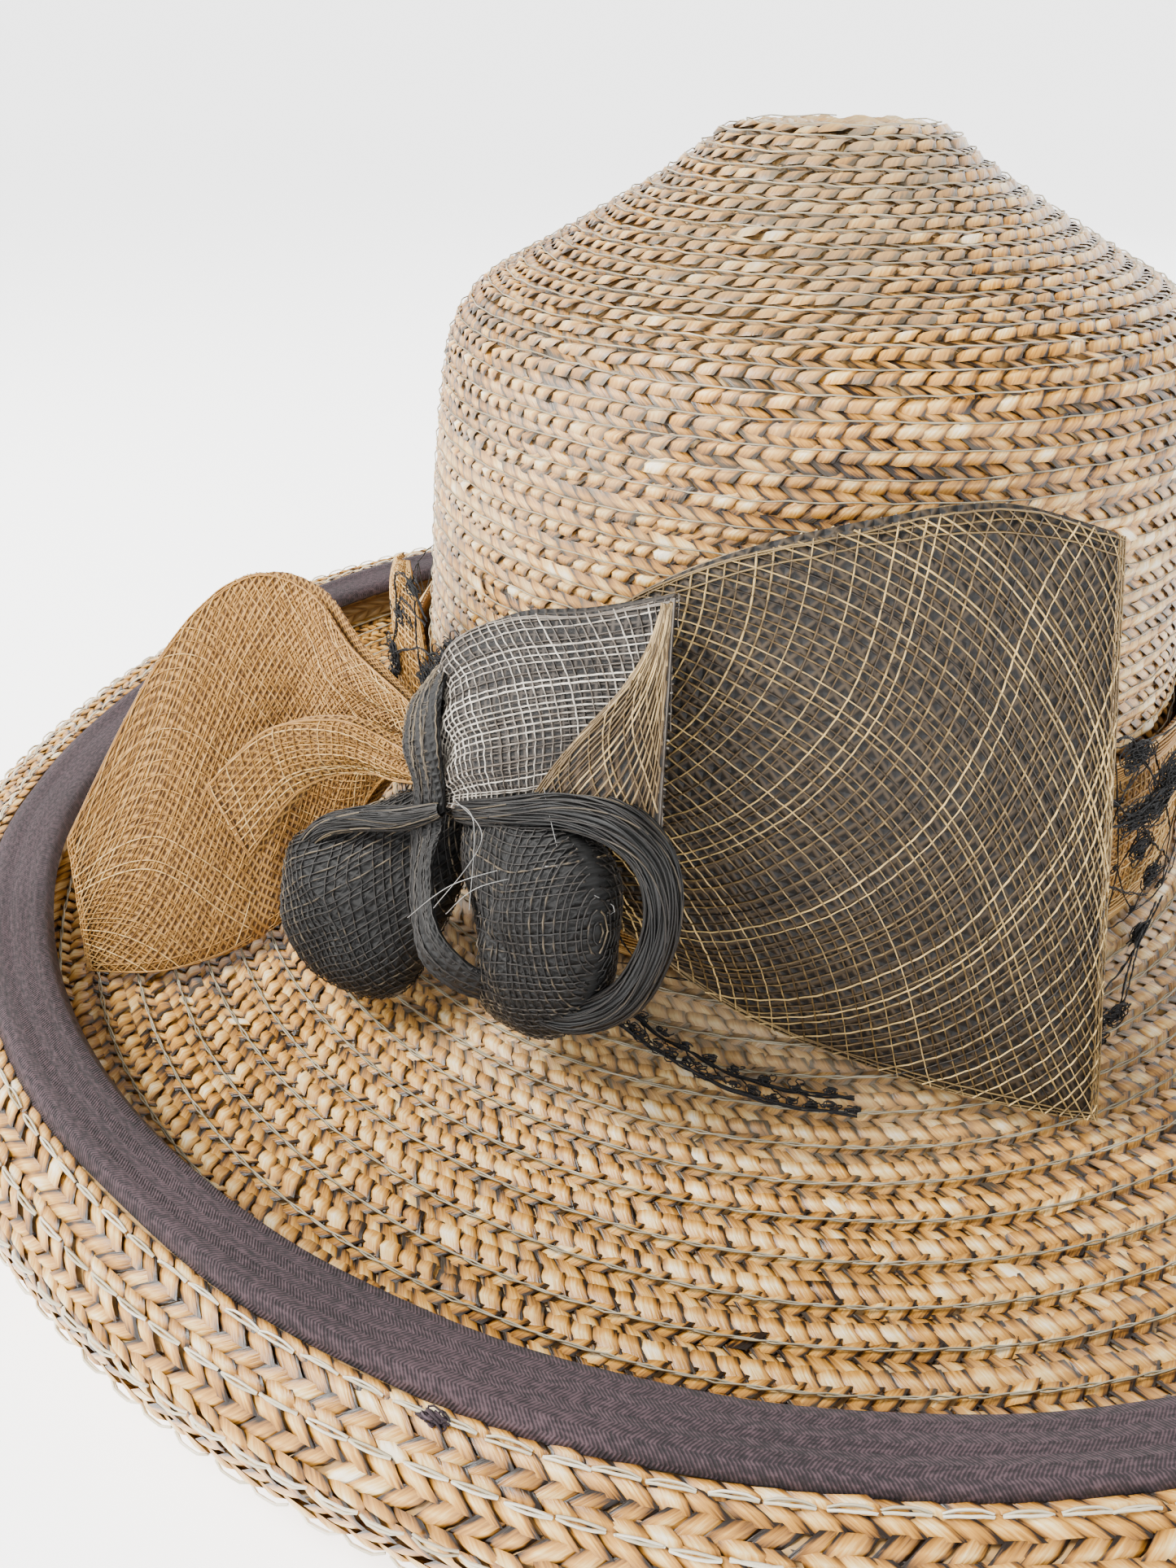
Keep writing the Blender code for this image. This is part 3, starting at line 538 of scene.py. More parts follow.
@dataclass
class Skin:
    """A face of a turned wall, read by azimuth, distance along its section, and lift off the face."""

    radii: Points
    flats: Points
    rises: Points
    offset: float
    side: Side
    rolled: bool
    stops: Points = field(init=False)

    def __post_init__(self) -> None:
        """Measure the section at the front."""
        steps = np.hypot(np.diff(self.radii), np.diff(self.flats + self.rises))
        self.stops = np.concatenate(([0.0], np.cumsum(steps)))

    @property
    def length(self) -> float:
        """The section's whole length at the front."""
        return float(self.stops[-1])

    def section(self, azimuth: Points, distance: Points) -> tuple[Points, Points]:
        """Radius and height of the wall's middle line."""
        radius = np.interp(distance, self.stops, self.radii)
        height = np.interp(distance, self.stops, self.flats)
        lift = np.interp(distance, self.stops, self.rises)
        share = roll_share(azimuth) if self.rolled else 1.0
        return radius, height + lift * share

    def at(self, azimuth: Points, distance: Points, lift: Points | float = 0.0) -> Points:
        """Points on the skin.

        Args:
            azimuth: degrees.
            distance: metres along the section.
            lift: metres off the skin, outwards.

        Returns:
            Points with a last axis of three.
        """
        small = 0.4 * MM
        r0, z0 = self.section(azimuth, distance - small)
        r1, z1 = self.section(azimuth, distance + small)
        length = np.maximum(np.hypot(r1 - r0, z1 - z0), 1e-9)
        normal_r = -(z1 - z0) / length * self.side.value
        normal_z = (r1 - r0) / length * self.side.value
        radius, height = self.section(azimuth, distance)
        out = self.offset + lift
        return polar(azimuth, radius + normal_r * out, height + normal_z * out)

    def radius_at(self, distance: float) -> float:
        """Radius of the section at a distance along it."""
        return float(np.interp(distance, self.stops, self.radii))


def crown_skin() -> Skin:
    """The crown's outer face, from the centre of its tip down to its foot."""
    steps = spline(CROWN_PROFILE, np.linspace(0, 1, 200))
    heights = CROWN_FOOT + steps[:, 1] * CROWN_HEIGHT
    return Skin(steps[:, 0] * CROWN_RADIUS, heights, np.zeros_like(heights), 0.0, Side.TOP, False)


def brim_skin(side: Side) -> Skin:
    """A face of the brim's wall, from the head opening to the rolled-over edge."""
    half = BRIM_WALL / 2
    slope = spline(SLOPE_PROFILE, np.linspace(0, 1, 120))
    radii = list(HEAD_RADIUS + slope[:, 0] * (SEAT_START - HEAD_RADIUS))
    flats = list(half + slope[:, 1] * (BRIM_RISE - BRIM_WALL))
    rises = [0.0] * len(radii)
    for step in (0.5, 1.0):
        radii.append(SEAT_START + SEAT_RING * step)
        flats.append(half)
        rises.append(0.0)
    roll = spline(((1.0, 0.0),) + ROLL_PROFILE, np.linspace(0.02, 1, 120))
    radii += list(BRIM_REACH - roll[:, 0] * ROLL_RUN)
    flats += [half] * len(roll)
    rises += list(np.maximum(roll[:, 1], 0.0) * (ROLL_HEIGHT - BRIM_WALL))
    return Skin(np.array(radii), np.array(flats), np.array(rises), half, side, True)


def unit_grid(rows: int, columns: int) -> tuple[Points, Points]:
    """A flat grid with both coordinates from 0 to 1: its points, and its faces."""
    builder = bmesh.new()
    bmesh.ops.create_grid(builder, x_segments=rows, y_segments=columns, size=0.5)
    builder.verts.index_update()
    points = np.array([(v.co.x + 0.5, v.co.y + 0.5) for v in builder.verts])
    faces = np.array([[v.index for v in face.verts] for face in builder.faces])
    builder.free()
    return points, faces


def close(piece: bpy.types.Object) -> None:
    """Merge a turned surface's seam and pole, and turn its faces outwards."""
    builder = bmesh.new()
    builder.from_mesh(piece.data)
    bmesh.ops.remove_doubles(builder, verts=builder.verts[:], dist=0.01 * MM)
    bmesh.ops.recalc_face_normals(builder, faces=builder.faces[:])
    builder.to_mesh(piece.data)
    builder.free()


def thicken(piece: bpy.types.Object, thickness: float, offset: float = 0.0) -> None:
    """Give a surface its wall, evenly on both sides or on one."""
    wall = piece.modifiers.new("wall", "SOLIDIFY")
    wall.thickness = thickness
    wall.offset = offset


class Heap:
    """Points, faces and values of many small copies, gathered into one mesh."""

    def __init__(self) -> None:
        """Start empty."""
        self.points: list[Points] = []
        self.faces: list[Points] = []
        self.uvs: list[Points] = []
        self.tones: list[Points] = []
        self.weathers: list[Points] = []
        self.count = 0

    def add(self, points: Points, faces: Points, uvs: Points, tones: Points,
            weathers: Points | None = None) -> None:
        """Add copies of one small mesh.

        Args:
            points: copies by points by three.
            faces: faces by corners of one copy.
            uvs: copies by points by two.
            tones: a tone for each copy, or for each of its points.
            weathers: how grey each copy has turned.
        """
        copies, size = points.shape[:2]
        starts = self.count + np.arange(copies)[:, None, None] * size
        self.points.append(points.reshape(-1, 3))
        self.faces.append((faces[None] + starts).reshape(-1, faces.shape[1]))
        self.uvs.append(uvs.reshape(-1, 2))
        self.tones.append(tones.reshape(-1) if tones.ndim > 1 else np.repeat(tones, size))
        weathers = np.zeros(copies) if weathers is None else weathers
        self.weathers.append(np.repeat(weathers, size))
        self.count += copies * size

    def build(self, name: str, material: bpy.types.Material) -> bpy.types.Object:
        """Join everything into one smooth object.

        Args:
            name: the piece's name.
            material: its finish.

        Returns:
            The piece.
        """
        points = np.concatenate(self.points).astype(np.float32)
        uvs = np.concatenate(self.uvs).astype(np.float32)
        loops = np.concatenate([f.reshape(-1) for f in self.faces]).astype(np.int32)
        sizes = np.concatenate([np.full(len(f), f.shape[1]) for f in self.faces]).astype(np.int32)
        mesh = bpy.data.meshes.new(name)
        mesh.vertices.add(len(points))
        mesh.vertices.foreach_set("co", points.reshape(-1))
        mesh.loops.add(len(loops))
        mesh.loops.foreach_set("vertex_index", loops)
        mesh.polygons.add(len(sizes))
        mesh.polygons.foreach_set("loop_start", np.concatenate(([0], np.cumsum(sizes)[:-1])).astype(np.int32))
        mesh.update(calc_edges=True)
        layer = mesh.uv_layers.new(name="UVMap")
        layer.data.foreach_set("uv", uvs[loops].reshape(-1))
        for label, values in (("tone", self.tones), ("weather", self.weathers)):
            data = mesh.attributes.new(label, "FLOAT", "POINT")
            data.data.foreach_set("value", np.concatenate(values).astype(np.float32))
        mesh.polygons.foreach_set("use_smooth", np.full(len(sizes), True))
        mesh.materials.append(material)
        piece = bpy.data.objects.new(name, mesh)
        bpy.context.scene.collection.objects.link(piece)
        return piece

    def surface(self, points: Points, faces: Points, uvs: Points, tone: float = 0.5) -> None:
        """Add one open surface."""
        self.add(points[None], faces, uvs[None], np.array([tone]))

    def strands(self, lines: Points, normals: Points, width: float, thick: float, tones: Points,
                sides: int = 3) -> None:
        """Add strands: a small ring carried along each line.

        Args:
            lines: strands by points by three.
            normals: the way off the cloth at each point.
            width: the strand's width.
            thick: its thickness.
            tones: a tone for each strand, or for each of its points.
            sides: sides of the ring.
        """
        strands, count = lines.shape[:2]
        tangent = unit(np.gradient(lines, axis=1))
        side = unit(np.cross(tangent, normals))
        up = np.cross(side, tangent)
        angles = math.pi / 2 + math.tau * np.arange(sides) / sides
        ring = (
            lines[:, :, None]
            + side[:, :, None] * (np.cos(angles) * width / 2)[None, None, :, None]
            + up[:, :, None] * (np.sin(angles) * thick / 2)[None, None, :, None]
        )
        step = np.arange(count - 1)[:, None] * sides
        here = np.arange(sides)[None, :]
        there = (here + 1) % sides
        faces = np.stack((step + here, step + there, step + sides + there, step + sides + here), axis=-1)
        uvs = np.zeros((strands, count * sides, 2))
        uvs[:, :, 0] = np.repeat(np.linspace(0, 1, count), sides)[None]
        if tones.ndim > 1:
            tones = np.repeat(tones, sides, axis=1)
        self.add(ring.reshape(strands, count * sides, 3), faces.reshape(-1, 4), uvs, tones)

    def strand(self, line: Points, normal: Points, width: float, thick: float, tone: float | Points) -> None:
        """Add one strand."""
        normal = np.broadcast_to(normal, line.shape)
        tones = np.array([tone]) if np.ndim(tone) == 0 else np.asarray(tone)[None]
        self.strands(line[None], normal[None], width, thick, tones)


@dataclass(frozen=True)
class Lane:
    """One lane of straws in a row of plait. Lengths are millimetres, shifts are shares of a straw's pitch."""

    start: float
    stop: float
    skew: float
    width: float
    low: float
    high: float
    dome: float
    plump: float
    tilt: float
    dip: float
    tone: float
    curve: float = 0.0
    grid: tuple[int, int] = (2, 4)

    def flipped(self) -> "Lane":
        """The same lane in a row that runs the other way along the section."""
        width = PLAIT_WIDTH / MM
        return Lane(
            width - self.stop, width - self.start, -self.skew, self.width, self.high, self.low, self.dome,
            self.plump, self.tilt, self.dip, self.tone, self.curve, self.grid,
        )


# Each lane's tone paints light and shade: lanes tucked under the row above are darker, painted shade, and the
# plump beads lighter, a painted highlight; the dome's bead lane is set darker than the side's, painted shade on
# the crown's top.
CROWN_LANES = (
    Lane(-1.0, 2.2, -0.85, 1.06, 0.10, 0.30, 0.30, 0.0, 0.50, 0.25, -0.14),
    Lane(1.3, 4.2, 0.85, 1.06, 0.40, 0.85, 0.30, 0.0, -0.70, 0.30, 0.00),
    Lane(3.5, 6.4, -0.52, 1.12, 0.45, 0.60, 0.0, 0.85, 0.70, 0.15, 0.10, 0.10),
)
DOME_LANES = (
    Lane(0.6, 3.9, 0.80, 1.06, 0.20, 0.70, 0.28, 0.0, -0.65, 0.30, -0.14),
    Lane(2.9, 6.6, -0.62, 1.12, 0.40, 0.60, 0.0, 0.85, 0.70, 0.15, 0.03, 0.10),
)
BRIM_LANES = (
    Lane(-0.8, 1.9, 0.50, 1.14, 0.70, 0.40, 0.0, 0.75, 0.65, 0.15, 0.08, -0.10),
    Lane(1.1, 3.5, -0.80, 1.06, 0.65, 0.45, 0.30, 0.0, 0.70, 0.30, 0.03),
    Lane(3.1, 5.9, 0.80, 1.06, 0.45, 0.05, 0.28, 0.0, -0.65, 0.25, 0.0),
)
ROLL_LANES = (
    Lane(-0.4, 1.5, 0.45, 1.12, 0.55, 0.45, 0.0, 0.70, 0.50, 0.15, 0.08, -0.08),
    Lane(0.9, 3.4, 0.80, 1.06, 0.70, 0.55, 0.38, 0.0, 0.70, 0.35, 0.04),
    Lane(3.0, 5.7, -0.80, 1.06, 0.55, 0.10, 0.34, 0.0, -0.65, 0.25, 0.0),
)


@dataclass(frozen=True)
class Row:
    """One turn of plait: where it starts on the section, its width and how far it drops in one turn."""

    start: float
    width: float
    drop: float


def plait_rows(start: float, stop: float, first: float, last: float) -> list[Row]:
    """Rows from start to stop whose width changes evenly along the section."""
    rows = []
    place = start
    while place < stop:
        width = first + (last - first) * (place - start) / (stop - start)
        rows.append(Row(place, width, width))
        place += width
    return rows


def crown_weather(azimuth: Points, distance: float, rng: np.random.Generator) -> Points:
    """How grey the crown's straws have turned: more towards the tip and in odd patches."""
    patch = 0.25 + 0.25 * np.sin(np.radians(3 * azimuth) + 40.0 * distance)
    top = np.clip(1.0 - distance / 0.08, 0.0, 1.0) * 0.65
    return np.clip(patch * 0.8 + top + rng.normal(0, 0.15, len(azimuth)), 0.0, 1.0)


def brim_weather(azimuth: Points, distance: float, rng: np.random.Generator) -> Points:
    """How grey the brim's straws have turned: more near the crown at the front."""
    near = np.clip(1.15 - distance / 0.034, 0.0, 1.0) * np.clip(np.cos(np.radians(azimuth + 5)), 0.0, 1.0)
    return np.clip(near + rng.normal(0.02, 0.08, len(azimuth)), 0.0, 1.0)


def wander(azimuth: Points, row_index: int, size: float = 0.22 * MM) -> Points:
    """How far a row of plait wanders off its line at azimuths, in metres."""
    turn = np.radians(azimuth)
    phase = row_index * 1.7
    return size * (np.sin(5 * turn + phase) + 0.6 * np.sin(11 * turn + 2.3 * phase))


@dataclass
class Plait:
    """Sewn straw plait over a skin: rows of slanted straws that lap over each other."""

    name: str
    skin: Skin
    rows: list[Row]
    lanes: tuple[Lane, ...]
    seed: int
    pitch: float = 4.0 * MM
    torn: float = 0.012
    white: float = 0.02
    weather: Callable[[Points, float, np.random.Generator], Points] | None = None
    mirrored: bool = False

    def build(self, material: bpy.types.Material) -> bpy.types.Object:
        """Stamp every straw of every lane and row."""
        rng = np.random.default_rng(self.seed)
        heap = Heap()
        for index, row in enumerate(self.rows):
            radius = max(self.skin.radius_at(row.start + row.width / 2), 3.0 * MM)
            count = max(int(round(math.tau * radius / self.pitch)), 6)
            row_tone = rng.normal(0.0, 0.03)
            for lane in self.lanes:
                self.stamp(heap, rng, index, row, lane, count, row_tone)
        return heap.build(self.name, material)

    def stamp(self, heap: Heap, rng: np.random.Generator, index: int, row: Row, lane: Lane, count: int,
              row_tone: float) -> None:
        """Add one lane of straws of one row to the heap.

        Args:
            heap: what the straws are added to.
            rng: for each straw's own size, lift and tone.
            index: the row's number.
            row: the row.
            lane: the lane.
            count: how many straws go round.
            row_tone: how much lighter or darker the row is.
        """
        grid, faces = unit_grid(*lane.grid)
        if self.mirrored:
            faces = faces[:, ::-1]
        across = grid[:, 0][None, :]
        along = grid[:, 1][None, :]
        turn_step = 360.0 / count
        centres = -180.0 + turn_step * (np.arange(count) + 0.5 * (index % 2) + rng.normal(0, 0.08, count))
        size = 1.0 + rng.normal(0, 0.08, count)[:, None]
        skew = lane.skew * (1.0 + rng.normal(0, 0.12, count)[:, None])
        shift = (along - 0.5) * lane.width * size + skew * (across - 0.5)
        shift = shift + lane.curve * np.sin(math.pi * across) * (1.0 if lane.skew >= 0 else -1.0)
        azimuth = centres[:, None] + shift * turn_step
        reach = MM * (lane.start + (lane.stop - lane.start) * across) * row.width / PLAIT_WIDTH
        reach = reach + rng.normal(0, 0.12 * MM, count)[:, None]
        distance = row.start + row.drop * (azimuth + 180.0) / 360.0 + reach + wander(azimuth, index)
        pillow = (np.sin(math.pi * along) * np.sin(math.pi * across)).clip(0, 1) ** 0.6
        lift = lane.low + (lane.high - lane.low) * across + lane.plump * pillow * size
        lift = lift + lane.dome * np.sin(math.pi * along)
        lift = lift + lane.tilt * (along - 0.5) - lane.dip * np.abs(2 * across - 1) ** 3
        lift = lift + rng.normal(0, 0.07, count)[:, None]
        torn = rng.random(count) < self.torn
        lift = lift + torn[:, None] * (0.5 + 0.5 * along) * rng.uniform(0.3, 0.9, count)[:, None]
        points = self.skin.at(azimuth, np.clip(distance, 0.0, self.skin.length), MM * lift)
        # The lane's tone is painted shade for tucked lanes and a painted highlight for the beads.
        tone = 0.56 + lane.tone + row_tone + rng.normal(0, 0.105, count)
        tone = tone + torn * rng.uniform(0.1, 0.35, count)
        tone = tone + (rng.random(count) < self.white) * rng.uniform(0.12, 0.32, count)
        # Each straw's tone darkens towards its ends and sides: painted shade between the straws.
        edge = np.abs(2 * along - 1) ** 3 * 0.55 + np.abs(2 * across - 1) ** 3 * 0.34
        weathers = np.zeros(count) if self.weather is None else self.weather(centres, row.start, rng)
        spot = np.stack(np.broadcast_arrays(across, along + rng.uniform(0, 40, count)[:, None]), axis=-1)
        heap.add(points, faces, spot, tone[:, None] - edge, weathers)


@dataclass
class Thread:
    """The thread that sews a row of plait to the next: one or two strands, or separate stitches."""

    name: str
    skin: Skin
    rows: list[Row]
    place: float
    lift: float
    width: float
    doubled: bool = False
    stitches: bool = False
    seed: int = 3

    def build(self, material: bpy.types.Material) -> bpy.types.Object:
        """Lay the thread along every row."""
        rng = np.random.default_rng(self.seed)
        heap = Heap()
        for index, row in enumerate(self.rows):
            base = row.start + self.place * MM * row.width / PLAIT_WIDTH
            radius = max(self.skin.radius_at(row.start + row.width / 2), 3 * MM)
            if self.stitches:
                self.stitch(heap, rng, row, base, radius, index)
            else:
                self.run(heap, rng, row, base, radius, index)
        return heap.build(self.name, material)

    def lay(self, heap: Heap, row: Row, index: int, azimuth: Points, base: Points, rise: Points,
            tones: Points) -> None:
        """Add strands at azimuths, distances and lifts on the skin."""
        distance = base + row.drop * (azimuth + 180) / 360 + wander(azimuth, index)
        distance = np.clip(distance, 0, self.skin.length)
        points = self.skin.at(azimuth, distance, rise)
        normals = self.skin.at(azimuth, distance, rise + MM) - points
        heap.strands(points, normals, self.width, self.width * 0.85, tones)

    def run(self, heap: Heap, rng: np.random.Generator, row: Row, base: float, radius: float,
            index: int) -> None:
        """Add the running thread of one row, two strands twisted where it is doubled."""
        count = max(int(math.tau * radius / (3.3 * MM)), 24)
        azimuth = np.linspace(-180.0, 180.0, count)[None]
        phase = np.arange(count)[None] * math.pi * 0.6
        for strand in range(2 if self.doubled else 1):
            turn = phase + math.pi * strand
            swing = (0.26 if self.doubled else 0.10) * MM * np.cos(turn) + rng.normal(0, 0.05 * MM, (1, count))
            rise = self.lift + (0.16 if self.doubled else 0.22) * MM * np.sin(turn)
            tones = 0.5 + rng.normal(0, 0.14, (1, count))
            self.lay(heap, row, index, azimuth, base + swing, rise, tones)

    def stitch(self, heap: Heap, rng: np.random.Generator, row: Row, base: float, radius: float,
               index: int) -> None:
        """Add separate stitches of two loose plies, each dipping in at both ends."""
        count = int(math.tau * radius / (7.2 * MM))
        centres = -180.0 + 360.0 * (np.arange(count) + rng.normal(0, 0.06, count)) / count
        spot = np.linspace(-0.44, 0.44, 5)
        azimuth = centres[:, None] + spot[None] * 360.0 / count
        for ply in (-0.5, 0.5):
            sway = ply * 0.5 * MM * np.cos(spot * math.pi)[None] + rng.normal(0, 0.10 * MM, (count, 1))
            rise = self.lift - 0.75 * MM * np.abs(spot[None] / 0.44) ** 4 + rng.normal(0, 0.05 * MM, (count, 1))
            self.lay(heap, row, index, azimuth, base + sway, rise, 0.5 + rng.normal(0, 0.18, count))


@dataclass
class StrawBody:
    """The crown and the brim: wall shells with the sewn plait and its threads laid over them."""

    straw: bpy.types.Material
    back: bpy.types.Material
    top_thread: bpy.types.Material
    bobbin_thread: bpy.types.Material
    dome_stop: float = 0.098
    band_cover: float = 0.034

    def shell(self, name: str, skin: Skin, lifts: tuple[float, float], segments: int,
              steps: int) -> bpy.types.Object:
        """A smooth wall between two lifts of a skin, with a UV map in metres.

        Args:
            name: the piece's name.
            skin: the face that the wall follows.
            lifts: the lifts of its two faces.
            segments: steps round.
            steps: steps along the section.

        Returns:
            The wall.
        """
        grid, faces = unit_grid(segments, steps)
        azimuth = -180.0 + 360.0 * grid[:, 0]
        distance = skin.length * grid[:, 1]
        heap = Heap()
        uvs = np.stack((np.radians(azimuth) * 0.12, distance), axis=-1)
        heap.surface(skin.at(azimuth, distance, sum(lifts) / 2), faces, uvs)
        piece = heap.build(name, self.back)
        close(piece)
        thicken(piece, abs(lifts[1] - lifts[0]))
        return piece

    def crown(self) -> list[bpy.types.Object]:
        """Make the crown's wall, plait and thread."""
        skin = crown_skin()
        tip = plait_rows(1.0 * MM, self.dome_stop, 4.3 * MM, 4.1 * MM)
        start = tip[-1].start + tip[-1].width
        side = plait_rows(start, skin.length - self.band_cover, 4.9 * MM, 5.5 * MM)
        wall = self.shell("crown_wall", skin, (-1.6 * MM, -0.3 * MM), 96, 40)
        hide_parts("crown")
        return [
            wall,
            Plait("crown_dome_plait", skin, tip, DOME_LANES, 11, weather=crown_weather).build(self.straw),
            Plait("crown_side_plait", skin, side, CROWN_LANES, 12, weather=crown_weather).build(self.straw),
            Thread("crown_thread", skin, tip[3:] + side, 3.55, 1.35 * MM, 0.36 * MM).build(self.top_thread),
        ]

    def brim(self) -> list[bpy.types.Object]:
        """Make the brim's wall, plait and thread."""
        skin = brim_skin(Side.TOP)
        rows = plait_rows(1.5 * MM, 0.094, 6.2 * MM, 8.4 * MM)
        wall = self.shell("brim_wall", skin, (-1.7 * MM, -0.3 * MM), 120, 50)
        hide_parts("brim")
        thread = Thread("brim_thread", skin, rows, 2.6, 1.75 * MM, 0.44 * MM, doubled=True, seed=5)
        return [
            wall,
            Plait("brim_plait", skin, rows, BRIM_LANES, 21, weather=brim_weather).build(self.straw),
            thread.build(self.top_thread),
        ]

    def roll(self) -> list[bpy.types.Object]:
        """Make the plait and the stitches on the outside of the roll."""
        skin = brim_skin(Side.UNDER)
        start = skin.length - RIBBON_WIDTH - 1.0 * MM
        rows = [Row(start - (index + 1) * 6.0 * MM, 6.0 * MM, 0.0) for index in range(5)]
        lanes = tuple(lane.flipped() for lane in ROLL_LANES)
        plait = Plait("roll_plait", skin, rows, lanes, 31, pitch=4.6 * MM, mirrored=True)
        place = PLAIT_WIDTH / MM - 1.2
        stitches = Thread("roll_stitches", skin, rows, place, 1.8 * MM, 0.52 * MM, stitches=True, seed=6)
        return [plait.build(self.straw), stitches.build(self.bobbin_thread)]

    def build(self) -> list[bpy.types.Object]:
        """Make the crown and the brim."""
        pieces = self.crown() + self.brim() + self.roll()
        return pieces


def curls(heap: Heap, rng: np.random.Generator, centre: Points, size: float, count: int, width: float,
          flat: float = 0.55) -> None:
    """Add a clump of short curls of yarn round a centre.

    Args:
        heap: what the curls are added to.
        rng: for their shapes.
        centre: the clump's middle.
        size: its radius.
        count: how many curls.
        width: the yarn's width.
        flat: how deep the clump is as a share of its radius.
    """
    steps = np.linspace(0, 1, 7)
    out = outwards(centre[None])[0]
    side = np.array((-out[1], out[0], 0.0))
    rise = np.array((0.0, 0.0, 1.0))
    for _ in range(count):
        phase = rng.uniform(0, math.tau)
        radius = size * rng.uniform(0.25, 0.8)
        middle = rng.normal(0, 0.32, 3) * size
        angle = phase + math.tau * rng.uniform(0.4, 1.2) * steps
        squash = rng.uniform(0.3, 1.0)
        line = (
            centre
            + side * (middle[0] + radius * np.cos(angle))[:, None]
            + rise * (middle[1] + radius * squash * np.sin(angle))[:, None]
            + out * (flat * (middle[2] + 0.4 * size * np.sin(angle * 1.3 + phase)))[:, None]
        )
        heap.strand(line, out, width, width, 0.5 + rng.normal(0, 0.2))


@dataclass
class Binding:
    """The ribbon folded over the brim's edge, with the small frayed join where its ends meet."""

    finish: bpy.types.Material
    yarn: bpy.types.Material
    join: tuple[float, float, float] = (-10.6, 0.1935, 0.0245)
    cut: tuple[float, float] = (0.0254, 1.276)

    def build(self) -> list[bpy.types.Object]:
        """Make the ribbon, with its crease and the slight waves of its sewn edge, and its join."""
        skin = brim_skin(Side.UNDER)
        edge = skin.length
        half = BRIM_WALL / 2
        grid, faces = unit_grid(300, 20)
        azimuth = -180.0 + 360.0 * grid[:, 0]
        turn = np.radians(azimuth)
        run = grid[:, 1] * 2.0
        on_top = run <= 1.0
        start = edge - RIBBON_WIDTH - 0.4 * MM + 0.35 * MM * np.sin(9 * turn) + 0.2 * MM * np.sin(23 * turn + 1)
        distance = np.where(on_top, start + (edge - start) * run, edge - (edge - start) * (run - 1.0) * 0.9)
        lift = 1.25 * MM + 0.35 * MM * np.sin(math.pi * np.minimum(run / 0.34, 1.0))
        lift = lift - 0.40 * MM * np.exp(-(((run - 0.36) / 0.05) ** 2)) + 0.12 * MM * np.sin(31 * turn + 4 * run)
        lift = lift * np.minimum(run / 0.05, 1.0) + 0.2 * MM
        turned = np.clip(np.abs(run - 1.0) / 0.16, 0.0, 1.0)
        round_edge = np.sqrt(np.maximum(1.0 - (1.0 - turned) ** 2, 0.0))
        from_middle = np.where(on_top, half + lift, -(half + 0.9 * MM)) * np.maximum(round_edge, 0.02)
        points = skin.at(azimuth, distance, from_middle - half)
        ends = np.full(len(grid), edge)
        tip = unit(skin.at(azimuth, ends, -half) - skin.at(azimuth, ends - 2 * MM, -half))
        points = points + tip * ((1.0 - turned) * 1.2 * MM)[:, None]
        heap = Heap()
        uvs = np.stack((turn * 0.19, distance + (~on_top) * 0.02), axis=-1)
        heap.surface(points, faces, uvs)
        ribbon = heap.build("edge_binding", self.finish)
        close(ribbon)
        measure(ribbon, self.cut)
        thicken(ribbon, 0.3 * MM, 1.0)
        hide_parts("edge_ribbon")
        frayed = Heap()
        curls(frayed, np.random.default_rng(31), polar(*self.join), 2.4 * MM, 34, 0.34 * MM)
        join = frayed.build("binding_join", self.yarn)
        return [ribbon, join]


def lifted(read: Callable[[Points, Points], Points], away: Callable[[Points], Points]) -> Surface:
    """Turn a map from shares to points into one that also lifts the points off the surface.

    Args:
        read: shares along and across to points.
        away: points to directions that the normals should face.

    Returns:
        Shares and lifts to points and normals.
    """

    def surface(share: Points, across: Points, lift: Points) -> tuple[Points, Points]:
        """Points and normals of the lifted surface."""
        small = 0.01
        one = read(np.minimum(share + small, 1.0), across) - read(np.maximum(share - small, 0.0), across)
        two = read(share, np.minimum(across + small, 1.0)) - read(share, np.maximum(across - small, 0.0))
        here = read(share, across)
        normal = unit(np.cross(one, two))
        facing = np.sign((normal * away(here)).sum(axis=-1, keepdims=True))
        normal = normal * np.where(facing == 0, 1.0, facing)
        return here + normal * np.asarray(lift)[..., None], normal

    return surface


